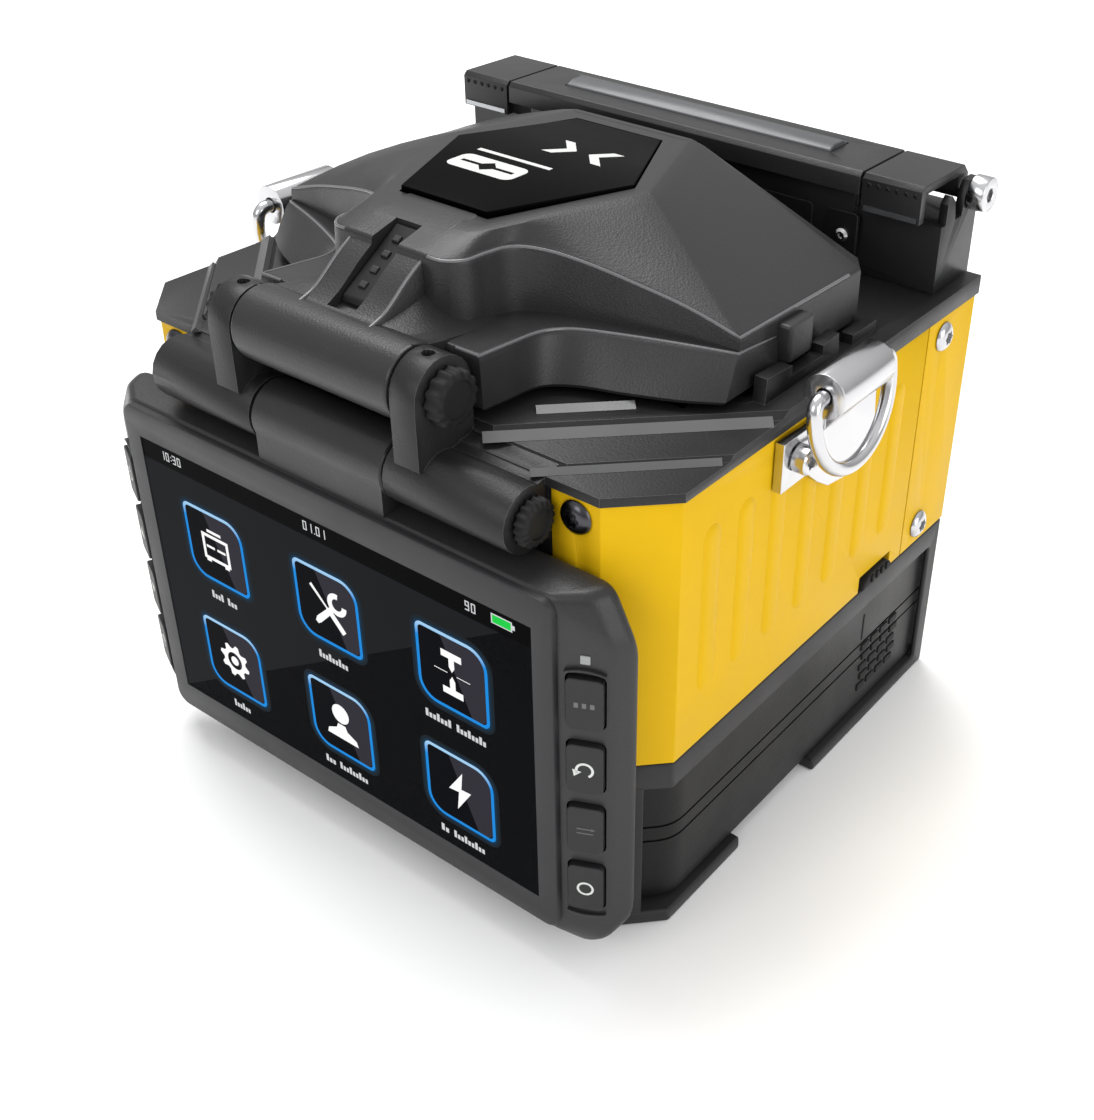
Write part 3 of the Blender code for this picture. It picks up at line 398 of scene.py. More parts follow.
# ---------------------------------------------------------------- shapes
class Shape:
    """Makes closed bmesh solids in millimetres."""

    @staticmethod
    def on_axis(point: Point2, along: float, axis: str) -> Point3:
        """Puts a flat point at a distance along an axis, keeping the other two axes in X, Y, Z order."""
        a, b = point
        return {"x": (along, a, b), "y": (a, along, b), "z": (a, b, along)}[axis]

    @staticmethod
    def loft(loops: Sequence[Sequence[Point3]], closed: bool = False) -> bmesh.types.BMesh:
        """Skins loops of equally many points.

        Args:
            loops: The loops, from one end to the other.
            closed: True to join the last loop to the first, False to cap both ends.

        Returns:
            The closed solid.
        """
        bm = bmesh.new()
        rings = [[bm.verts.new(p) for p in loop] for loop in loops]
        pairs = list(zip(rings, rings[1:]))
        if closed:
            pairs.append((rings[-1], rings[0]))
        for low, high in pairs:
            for i in range(len(low)):
                j = (i + 1) % len(low)
                bm.faces.new((low[i], low[j], high[j], high[i]))
        if not closed:
            bm.faces.new(list(reversed(rings[0])))
            bm.faces.new(rings[-1])
        return bm

    @classmethod
    def prism(cls, outline: Sequence[Point2], start: float, end: float, axis: str = "z") -> bmesh.types.BMesh:
        """Extrudes an outline along an axis."""
        return cls.loft([[cls.on_axis(p, along, axis) for p in outline] for along in (start, end)])

    @classmethod
    def box(cls, low: Point3, high: Point3) -> bmesh.types.BMesh:
        """Makes a box between two corners."""
        outline = [(low[0], low[1]), (high[0], low[1]), (high[0], high[1]), (low[0], high[1])]
        return cls.prism(outline, low[2], high[2])

    @classmethod
    def turned(
        cls,
        steps: Sequence[tuple[float, float, float]],
        centre: Point2,
        axis: str,
        sides: int = 48,
        lobes: int = 6,
    ) -> bmesh.types.BMesh:
        """Turns a profile about an axis, with lobes where a step asks for them.

        Args:
            steps: (distance along the axis, radius, lobe depth) from one end to the other.
            centre: The axis in the other two coordinates.
            axis: The letter of the axis.
            sides: How many points go round.
            lobes: How many lobes go round, as in a torx socket or a fluted knob.

        Returns:
            The closed solid.
        """
        loops = []
        for along, radius, depth in steps:
            turns = [2 * math.pi * i / sides for i in range(sides)]
            flat = [(radius + depth * math.cos(lobes * t), t) for t in turns]
            loop = [(centre[0] + r * math.cos(t), centre[1] + r * math.sin(t)) for r, t in flat]
            loops.append([cls.on_axis(p, along, axis) for p in loop])
        return cls.loft(loops)

    @classmethod
    def tube(cls, path: Sequence[Point3], radius: float, closed: bool, sides: int = 16) -> bmesh.types.BMesh:
        """Sweeps a round wire along a path that lies in one plane.

        Args:
            path: The points of the wire's centre.
            radius: The wire's radius.
            closed: True for a ring.
            sides: How many points go round the wire.

        Returns:
            The closed solid.
        """
        points = [Vector(p) for p in path]
        middle = sum(points, Vector()) / len(points)
        normal = (points[0] - middle).cross(points[len(points) // 3] - middle).normalized()
        loops = []
        for i, p in enumerate(points):
            before = points[i - 1] if closed or i else p
            after = points[(i + 1) % len(points)] if closed or i < len(points) - 1 else p
            along = (after - before).normalized()
            side = along.cross(normal).normalized()
            turns = [2 * math.pi * a / sides for a in range(sides)]
            loops.append([p + radius * (math.cos(t) * side + math.sin(t) * normal) for t in turns])
        return cls.loft(loops, closed)

    @staticmethod
    def mirrored(half: Sequence[tuple[float, ...]]) -> list[tuple[float, ...]]:
        """Closes a right-hand half outline, front to rear, with its mirror image."""
        return list(half) + [(-p[0], *p[1:]) for p in reversed(half) if p[0] > 1e-9]

    @staticmethod
    def bar(x: float, y: float, width: float, height: float) -> list[Point2]:
        """Makes a flat rectangle about its middle.

        Args:
            x: The middle, across.
            y: The middle, upwards.
            width: Its whole width.
            height: Its whole height.

        Returns:
            The four corners.
        """
        left, right = x - width / 2, x + width / 2
        low, high = y - height / 2, y + height / 2
        return [(left, low), (right, low), (right, high), (left, high)]

    @staticmethod
    def arc(centre: Point2, radius: float, start: float, sweep: float, points: int) -> list[Point2]:
        """Points along an arc, with angles in degrees."""
        turns = [math.radians(start + sweep * i / (points - 1)) for i in range(points)]
        return [(centre[0] + radius * math.cos(t), centre[1] + radius * math.sin(t)) for t in turns]

    @classmethod
    def rounded(cls, low: Point2, high: Point2, radii: Sequence[float], points: int = 6) -> list[Point2]:
        """A rectangle with rounded corners.

        Args:
            low: The lower left corner.
            high: The upper right corner.
            radii: The corner radii at the lower left, lower right, upper right and upper left.
            points: How many points each corner takes.

        Returns:
            The outline.
        """
        (x0, y0), (x1, y1) = low, high
        a, b, c, d = radii
        outline = cls.arc((x0 + a, y0 + a), a, 180, 90, points)
        outline += cls.arc((x1 - b, y0 + b), b, 270, 90, points)
        outline += cls.arc((x1 - c, y1 - c), c, 0, 90, points)
        return outline + cls.arc((x0 + d, y1 - d), d, 90, 90, points)

    @staticmethod
    def flow(groups: Sequence[Sequence[Sequence[float]]], counts: Sequence[int]) -> list[Vector]:
        """Runs one smooth curve through each group of points, with corners only between groups.

        Args:
            groups: The points of each group; a group starts where the last one ended.
            counts: How many steps each group takes.

        Returns:
            The points of the whole line, both ends included.
        """
        line = []
        for group, count in zip(groups, counts):
            knots = [Vector(p) for p in group]
            ends = [2 * knots[0] - knots[1]] + knots + [2 * knots[-1] - knots[-2]]
            lengths = [(b - a).length for a, b in zip(knots, knots[1:])]
            total = sum(lengths)
            for step in range(count):
                along, span = total * step / count, 0
                while span < len(lengths) - 1 and along > lengths[span]:
                    along -= lengths[span]
                    span += 1
                t = along / lengths[span]
                a, b, c, d = ends[span : span + 4]
                ab, ac = (b - a).length, (d - c).length
                before = (c - a) * lengths[span] / (ab + lengths[span])
                after = (d - b) * lengths[span] / (ac + lengths[span])
                line.append(
                    (2 * t**3 - 3 * t**2 + 1) * b
                    + (t**3 - 2 * t**2 + t) * before
                    + (3 * t**2 - 2 * t**3) * c
                    + (t**3 - t**2) * after
                )
        return line + [Vector(groups[-1][-1])]

    @staticmethod
    def inset(loop: Sequence[Sequence[float]], distances: float | Sequence[float]) -> list[Vector]:
        """Moves a closed loop inwards in plan, with heights kept.

        Args:
            loop: Points that run anticlockwise as seen from above.
            distances: How far each point moves in, or one distance for all.

        Returns:
            The moved points.
        """
        moved = []
        count = len(loop)
        for i in range(count):
            before, here, after = (Vector(loop[(i + k) % count][:2]) for k in (-1, 0, 1))
            first, second = (here - before).normalized(), (after - here).normalized()
            left, right = Vector((-first.y, first.x)), Vector((-second.y, second.x))
            distance = distances if isinstance(distances, (int, float)) else distances[i]
            step = (left + right) * distance / max(0.5, 1 + left.dot(right))
            moved.append(Vector((here.x + step.x, here.y + step.y, *loop[i][2:])))
        return moved

    @staticmethod
    def soften(outline: Sequence[Sequence[float]], reach: float, points: int = 4) -> list[Vector]:
        """Rounds every corner of a closed outline.

        Args:
            outline: The corners.
            reach: How far from a corner its rounding starts.
            points: How many points each rounding takes.

        Returns:
            The rounded outline.
        """
        rounded = []
        count = len(outline)
        for i in range(count):
            before, here, after = (Vector(outline[(i + k) % count]) for k in (-1, 0, 1))
            start = here + (before - here) * min(0.45, reach / max(1e-6, (before - here).length))
            end = here + (after - here) * min(0.45, reach / max(1e-6, (after - here).length))
            for step in range(points):
                t = step / (points - 1)
                rounded.append((1 - t) ** 2 * start + 2 * t * (1 - t) * here + t * t * end)
        return rounded

    @staticmethod
    def eased(loops: Sequence[Sequence[Sequence[float]]], reach: float) -> list[list[Vector]]:
        """Rounds a skin where it turns at each loop between its first and its last.

        Args:
            loops: Loops of equally many points.
            reach: How far from each loop the rounding starts.

        Returns:
            The loops, with three in place of each inner one.
        """
        skin = [[Vector(p) for p in loops[0]]]
        for i in range(1, len(loops) - 1):
            triple: list[list[Vector]] = [[], [], []]
            for before, here, after in zip(loops[i - 1], loops[i], loops[i + 1]):
                a, b, c = Vector(before), Vector(here), Vector(after)
                start = b + (a - b) * min(0.45, reach / max(1e-6, (a - b).length))
                end = b + (c - b) * min(0.45, reach / max(1e-6, (c - b).length))
                for row, point in zip(triple, (start, (start + 2 * b + end) / 4, end)):
                    row.append(point)
            skin += triple
        return skin + [[Vector(p) for p in loops[-1]]]

    @classmethod
    def carved(
        cls, solids: Sequence[bmesh.types.BMesh], cutters: Sequence[bmesh.types.BMesh]
    ) -> bmesh.types.BMesh:
        """Fuses solids into one and cuts others out of it.

        Args:
            solids: The solids that make the shape.
            cutters: The solids that are taken away.

        Returns:
            The finished solid.
        """
        tools = []
        for solid in (*solids, *cutters):
            bmesh.ops.recalc_face_normals(solid, faces=solid.faces)
            mesh = bpy.data.meshes.new("tool")
            solid.to_mesh(mesh)
            solid.free()
            tool = bpy.data.objects.new("tool", mesh)
            bpy.context.scene.collection.objects.link(tool)
            tools.append(tool)
        for index, tool in enumerate(tools[1:], 1):
            step = tools[0].modifiers.new("Step", "BOOLEAN")
            step.operation = "UNION" if index < len(solids) else "DIFFERENCE"
            step.solver = "EXACT"
            step.object = tool
        graph = bpy.context.evaluated_depsgraph_get()
        result = bmesh.new()
        result.from_object(tools[0], graph)
        bmesh.ops.remove_doubles(result, verts=result.verts, dist=0.004)
        for tool in tools:
            mesh = tool.data
            bpy.data.objects.remove(tool)
            bpy.data.meshes.remove(mesh)
        return result

    @staticmethod
    def joined(*solids: bmesh.types.BMesh) -> bmesh.types.BMesh:
        """Gathers solids that don't touch into one bmesh.

        Args:
            solids: The solids, which are used up.

        Returns:
            The bmesh that holds them all.
        """
        whole = bmesh.new()
        for solid in solids:
            mesh = bpy.data.meshes.new("part")
            solid.to_mesh(mesh)
            solid.free()
            whole.from_mesh(mesh)
            bpy.data.meshes.remove(mesh)
        return whole


@dataclass
class Assembly:
    """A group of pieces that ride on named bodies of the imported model."""

    pieces: list[str] = field(default_factory=list)

    def add(
        self,
        name: str,
        solid: bmesh.types.BMesh,
        finish: Stock,
        body: str,
        stands_for: Sequence[str] = (),
        edge_mm: float = 0.0,
        segments: int = 2,
    ) -> bpy.types.Object:
        """Makes one piece, gives it its finish and lets it ride on a body.

        Args:
            name: The piece's name.
            solid: Its shape in millimetres.
            finish: Its finish.
            body: The body it moves with.
            stands_for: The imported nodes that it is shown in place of.
            edge_mm: The radius its edges are rounded to.
            segments: How many facets each rounded edge takes.

        Returns:
            The object.
        """
        bmesh.ops.recalc_face_normals(solid, faces=solid.faces)
        bmesh.ops.scale(solid, vec=(MM, MM, MM), verts=solid.verts)
        mesh = bpy.data.meshes.new(name)
        solid.to_mesh(mesh)
        solid.free()
        piece = bpy.data.objects.new(name, mesh)
        bpy.context.scene.collection.objects.link(piece)
        return self.finish(piece, finish, body, stands_for, edge_mm, segments)

    def finish(
        self,
        piece: bpy.types.Object,
        finish: Stock,
        body: str,
        stands_for: Sequence[str] = (),
        edge_mm: float = 0.0,
        segments: int = 2,
    ) -> bpy.types.Object:
        """Dresses a piece and lets it ride on a body.

        Args:
            piece: The object.
            finish: Its finish.
            body: The body it moves with.
            stands_for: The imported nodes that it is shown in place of.
            edge_mm: The radius its edges are rounded to.
            segments: How many facets each rounded edge takes.

        Returns:
            The same object.
        """
        mesh = piece.data
        mesh.materials.clear()
        mesh.materials.append(finish.value.material())
        mesh.shade_smooth()
        if edge_mm:
            bevel = piece.modifiers.new("RoundedEdges", "BEVEL")
            bevel.width = edge_mm * MM
            bevel.segments = segments
            bevel.limit_method = "ANGLE"
            bevel.angle_limit = math.radians(28)
            bevel.harden_normals = True
            bevel.miter_outer = "MITER_ARC"
        else:
            mesh.set_sharp_from_angle(angle=math.radians(35))
        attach(piece, body)
        if stands_for:
            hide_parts(*stands_for)
        self.pieces.append(piece.name)
        return piece

    @staticmethod
    def paint_edge_highlight(piece: bpy.types.Object, finish: Stock) -> None:
        """Paints a piece's rounded edges with a paler finish of their own: a painted highlight."""
        piece.data.materials.append(finish.value.material())
        piece.modifiers["RoundedEdges"].material = 1

    def carry(self, node: str, finish: Stock, edge_mm: float = 0.0, segments: int = 2) -> bpy.types.Object:
        """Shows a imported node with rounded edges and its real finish.

        Args:
            node: The node's name.
            finish: Its finish.
            edge_mm: The radius its edges are rounded to, or 0 to show the node itself.
            segments: How many facets each rounded edge takes.

        Returns:
            The object that shows it.
        """
        source = frame["nodes"][node]
        if not edge_mm:
            source.data.materials.clear()
            source.data.materials.append(finish.value.material())
            self.pieces.append(node)
            return source
        return self.finish(self.cleaned(node), finish, source["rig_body"], (node,), edge_mm, segments)

    @staticmethod
    def cleaned(node: str) -> bpy.types.Object:
        """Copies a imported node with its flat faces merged, so that its edges can be rounded.

        Args:
            node: The node's name.

        Returns:
            The copy.
        """
        bm = bmesh.new()
        bm.from_mesh(frame["nodes"][node].data)
        bmesh.ops.remove_doubles(bm, verts=bm.verts, dist=2e-6)
        bmesh.ops.dissolve_limit(bm, angle_limit=math.radians(0.6), verts=bm.verts, edges=bm.edges)
        mesh = bpy.data.meshes.new(node + "_dressed")
        bm.to_mesh(mesh)
        bm.free()
        copy = bpy.data.objects.new(node + "_dressed", mesh)
        bpy.context.scene.collection.objects.link(copy)
        return copy

    def build(self) -> None:
        """Makes every piece of the assembly."""
        raise NotImplementedError


# ---------------------------------------------------------------- body
@dataclass
class Chassis(Assembly):
    """The frame, the battery, the yellow panels and what is screwed to them."""

    rib_edges: tuple[float, ...] = (-32.6, -21.2, -10.0, 1.8, 13.4, 25.4, 37.6)
    rib_width: float = 5.4
    rib_z: Point2 = (56.8, 95.0)
    rib_steps: tuple[Point2, ...] = (
        (0.0, 68.8), (0.0, 69.03), (0.6, 69.35), (1.0, 69.5), (1.7, 69.6), (2.4, 69.62),
    )
    groove_z: tuple[float, float, float, float] = (20.2, 20.7, 24.1, 24.6)
    tread_start: Point2 = (35.0, 9.4)
    tread_pitch: Point2 = (4.6, 3.1)
    tread_size: Point2 = (3.6, 1.9)
    tread_stagger: float = 0.8
    pull_bars_z: tuple[float, float, float] = (16.6, 19.3, 22.0)

    def build(self) -> None:
        """Makes the frame, the panels, the battery and the fittings."""
        self.carry("base_frame", Stock.FRAME, 0.8, 3)
        self.posts()
        self.panels()
        self.battery()
        self.port_cover()
        self.screws()
        self.inner_parts()

    def posts(self) -> None:
        """Makes the frame's two front corner posts, which stand before the battery on the slanted corners."""
        for side, sign in SIDES.items():
            plan = [(57.0, -55.2), (58.8, -55.2), (64.9, -49.1), (64.0, -48.2), (58.2, -54.0), (57.0, -54.0)]
            post = Shape.prism([(sign * x, y) for x, y in plan], 3.0, 39.0)
            self.add(f"frame_post_{side}", post, Stock.FRAME, "chassis", (), 0.3)

    def panels(self) -> None:
        """Dresses the three panels and lays the pressed ribs on both sides."""
        self.carry("rear_panel", Stock.PANEL, 0.5)
        for side, sign in SIDES.items():
            self.carry(f"side_panel_{side}", Stock.PANEL, 0.5)
            ribs = []
            for rear in self.rib_edges:
                low, high = (rear - self.rib_width, self.rib_z[0]), (rear, self.rib_z[1])
                loops = []
                for inset, out in self.rib_steps:
                    radius = self.rib_width / 2 - inset
                    a, b = (low[0] + inset, low[1] + inset), (high[0] - inset, high[1] - inset)
                    outline = Shape.rounded(a, b, (radius,) * 4, 7)
                    loops.append([(sign * out, y, z) for y, z in outline])
                ribs.append(Shape.loft(loops))
            self.add(f"panel_ribs_{side}", Shape.joined(*ribs), Stock.PANEL, "chassis")

    def battery(self) -> None:
        """Makes the battery pack with the two grooves that run round it and its moulded patch."""
        low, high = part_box("battery_pack")
        x, front, rear = high.x / MM, low.y / MM, high.y / MM
        steps = [(low.z / MM, 0.8), (low.z / MM + 0.8, 0.0)]
        for start, end in (self.groove_z[:2], self.groove_z[2:]):
            steps += [(start - 0.05, 0.0), (start, 0.32), (end, 0.32), (end + 0.05, 0.0)]
        steps += [(high.z / MM - 0.8, 0.0), (high.z / MM, 0.8)]
        loops = []
        for z, inset in steps:
            corner = 10.2 - inset * 0.59
            half = [
                (x - inset - corner, front + inset),
                (x - inset, front + inset + corner),
                (x - inset, rear - inset),
            ]
            plan = Shape.soften(Shape.mirrored(half), 3.6, 6)
            loops.append([(p.x, p.y, z) for p in plan])
        mouths = []
        for y, inset in ((rear + 1, -0.9), (rear - 0.1, 0.0), (rear - 5.4, 0.4)):
            mouth = Shape.rounded((-20 + inset, 14 + inset), (20 - inset, 26 - inset), (2.4,) * 4, 6)
            mouths.append([(across, y, z) for across, z in mouth])
        grasp = Shape.loft(mouths)
        shell = Shape.carved([Shape.loft(loops)], [grasp])
        self.add("battery_shell", shell, Stock.PACK, "battery", ("battery_pack",))
        for side, sign in SIDES.items():
            bars = []
            for row in range(5):
                for column in range(4):
                    y = self.tread_start[0] + self.tread_pitch[0] * column + (row % 2) * self.tread_stagger
                    z = self.tread_start[1] + self.tread_pitch[1] * row
                    x0, x1 = sorted((sign * (x - 0.3), sign * (x + 0.35)))
                    bars.append(Shape.box((x0, y, z), (x1, y + self.tread_size[0], z + self.tread_size[1])))
            self.add(f"battery_tread_{side}", Shape.joined(*bars), Stock.RUBBER, "battery", (), 0.25)
            x0, x1 = sorted((sign * (x - 0.3), sign * (x + 0.12)))
            latch = Shape.box((x0, 34.6, 25.6), (x1, 35.1, 33.0))
            self.add(f"battery_seam_{side}", latch, Stock.RUBBER, "battery")
        bars = [Shape.box((-17, rear - 5.6, z), (17, rear - 4.2, z + 1.4)) for z in self.pull_bars_z]
        self.add("battery_pull", Shape.joined(*bars), Stock.RUBBER, "battery", (), 0.5)

    def port_cover(self) -> None:
        """Makes the rubber flap with its grip ridges."""
        self.carry("port_cover", Stock.RUBBER, 0.5, 3)
        ridges = [Shape.box((69.7, 30.5 + 2.2 * i, 45.9), (70.4, 31.6 + 2.2 * i, 47.9)) for i in range(4)]
        self.add("port_cover_ridges", Shape.joined(*ridges), Stock.RUBBER, "chassis", (), 0.3)

    def screw(self, node: str, axis: str, sign: int, radius: float, dome: float, finish: Stock) -> None:
        """Makes one screw head with a six-lobed socket, in place of a packed screw.

        Args:
            node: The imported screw.
            axis: The letter of its axis.
            sign: Which way it points out.
            radius: The head's radius.
            dome: How much narrower the top of the head is.
            finish: Its finish.
        """
        low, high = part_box(node)
        index = "xyz".index(axis)
        tip = (high if sign > 0 else low)[index] / MM
        tail = (low if sign > 0 else high)[index] / MM
        middle = [(low[i] + high[i]) / 2 / MM for i in range(3) if i != index]
        height = 1.3 if dome > 1 else 3.0
        steps = [(tail, 1.2, 0.0), (tip - sign * height, 1.35, 0.0), (tip - sign * height, radius, 0.0)]
        if dome > 1:
            steps += [(tip - sign * 0.75, radius - 0.25, 0), (tip - sign * 0.3, radius - 0.95, 0)]
            steps += [(tip, radius - dome, 0)]
        else:
            steps += [(tip - sign * 0.35, radius, 0), (tip, radius - 0.35, 0)]
        steps += [(tip, 1.45, 0.22), (tip - sign * 1.0, 1.3, 0.2), (tip - sign * 1.1, 0.3, 0.0)]
        solid = Shape.turned(steps, (middle[0], middle[1]), axis)
        self.add(node + "_head", solid, finish, "chassis", (node,))

    def screws(self) -> None:
        """Makes every screw on the outside of the body."""
        for side, sign in SIDES.items():
            self.screw(f"front_screw_{side}", "y", -1, 3.4, 1.6, Stock.DARK_SCREW)
            for level in ("top", "bottom"):
                self.screw(f"rear_screw_{side}_{level}", "x", sign, 3.4, 1.6, Stock.SCREW)
            self.screw(f"bracket_screw_{side}", "x", sign, 2.9, 0.3, Stock.CHROME)

    def inner_parts(self) -> None:
        """Dresses the board and the high-voltage unit inside the body."""
        self.carry("main_board", Stock.BOARD)
        self.carry("arc_transformer", Stock.WINDING)


@dataclass
class StrapRings(Assembly):
    """The bent brackets and the wire rings for a carrying strap."""

    pivot: Point2 = (75.4, 112.6)
    half: float = 14.2
    wire: float = 1.5
    drop: float = 4.0
    middle_y: float = 0.6
    lean: float = 7.0

    def build(self) -> None:
        """Makes both brackets and both rings."""
        for side, sign in SIDES.items():
            self.carry(f"strap_bracket_{side}", Stock.CHROME, 0.35, 3)
            ring = Shape.tube(self.path(sign), self.wire, True, 20)
            self.add(f"strap_wire_{side}", ring, Stock.CHROME, f"ring_{side}", (f"strap_ring_{side}",))

    def path(self, sign: int) -> list[Point3]:
        """The centre of the ring's wire.

        Args:
            sign: 1 for the right side, -1 for the left side.

        Returns:
            The points of the D, starting on its straight bar.
        """
        radius = 2.2
        shoulder = Shape.arc((self.half - radius, radius), radius, -90, 90, 6)
        flat = [(0.0, 0.0), (6.0, 0.0)] + shoulder
        flat += Shape.arc((0.0, self.drop), self.half, 0, 180, 33)
        flat += [(-y, down) for y, down in reversed(shoulder)]
        flat += [(-6.0, 0.0)]
        lean = math.radians(self.lean)
        x, z = self.pivot
        points = []
        for y, down in flat:
            across = sign * (x + down * math.sin(lean))
            points.append((across, self.middle_y + y, z - down * math.cos(lean)))
        kept = [p for i, p in enumerate(points) if (Vector(p) - Vector(points[i - 1])).length > 0.05]
        return kept


# ---------------------------------------------------------------- deck and hinges
@dataclass
class Deck(Assembly):
    """The black top casting and the hinge hardware in it."""

    monitor_axis: Point2 = (-60.5, 100.0)
    cover_axis: Point2 = (-59.2, 117.4)
    step_lines: tuple[tuple[float, float, float, float, Point2], ...] = (
        (101.6, 106.7, 107.8, 1.1, (44.6, 68.6)),
        (85.2, 107.8, 109.1, 2.0, (31.0, 68.6)),
        (74.8, 109.1, 109.9, 2.0, (33.0, 46.0)),
    )

    def build(self) -> None:
        """Makes the casting, the hinge pins and the knobs."""
        deck = self.carry("top_deck", Stock.DECK, 0.45, 2)
        # The deck's rounded edges are painted paler: a painted highlight.
        self.paint_edge_highlight(deck, Stock.DECK_EDGE)
        self.step_edges()
        self.carry("monitor_hinge_shaft", Stock.SCREW, 0.3)
        self.carry("cover_hinge_pin", Stock.SCREW, 0.3)
        for side, sign in SIDES.items():
            self.knob(f"monitor_knob_{side}", self.monitor_axis, sign, 4.75, 18)
            self.knob(f"cover_knob_{side}", self.cover_axis, sign, 5.5, 14)

    def step_edges(self) -> None:
        """Lays the pale slanted edges of the deck's steps, which cross each front corner at 45 degrees: a
        painted highlight where the slopes catch the light.
        """
        for side, sign in SIDES.items():
            wedges = []
            for line, low, high, run, reach in self.step_lines:
                start, end = reach
                loops = []
                for x in (start, end):
                    y = x - line
                    out = run / math.sqrt(2)
                    back = 0.6
                    corners = (
                        (x, y, high + 0.04),
                        (x + out, y - out, low + 0.05),
                        (x - back, y + back, low + 0.05),
                    )
                    loops.append([(sign * a, b, c) for a, b, c in corners])
                wedges.append(Shape.loft(loops))
            self.add(f"deck_step_edges_{side}", Shape.joined(*wedges), Stock.DECK_EDGE, "chassis")

    def knob(self, node: str, axis: Point2, sign: int, radius: float, flutes: int) -> None:
        """Makes one fluted knob in place of a packed one.

        Args:
            node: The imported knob.
            axis: Its (y, z) axis.
            sign: Which way it points out.
            radius: Its radius over the flutes.
            flutes: How many flutes go round.
        """
        low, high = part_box(node)
        inner, outer = sorted((abs(low.x), abs(high.x)))
        inner, outer, depth = inner / MM, outer / MM, 0.28
        reach = radius - depth
        steps = [(inner, reach - 0.5, 0.0), (inner + 0.3, reach, depth), (outer - 0.9, reach, depth)]
        steps += [(outer - 0.35, reach - 0.35, depth), (outer, reach - 1.1, 0.0), (outer, reach - 1.5, 0.0)]
        steps += [(outer - 0.5, reach - 1.7, 0.0), (outer - 0.5, 0.8, 0.0)]
        solid = Shape.turned([(sign * x, r, d) for x, r, d in steps], axis, "x", flutes * 8, flutes)
        self.add(node + "_fluted", solid, Stock.RUBBER, "chassis", (node,))


@dataclass
class SplicingUnit(Assembly):
    """What sits in the well under the wind cover."""

    def build(self) -> None:
        """Dresses the block, the electrodes, the objectives, the stages and the clamps."""
        self.carry("v_groove_block", Stock.ALUMINIUM, 0.15)
        for end in ("front", "rear"):
            self.carry(f"electrode_{end}", Stock.TUNGSTEN)
            self.carry(f"electrode_clamp_{end}", Stock.ALUMINIUM, 0.3)
            self.carry(f"objective_{end}", Stock.KEY, 0.2)
        for side in SIDES:
            self.carry(f"fiber_stage_{side}", Stock.BRUSHED, 0.35)
            self.carry(f"sheath_clamp_{side}", Stock.SHELL, 0.4)


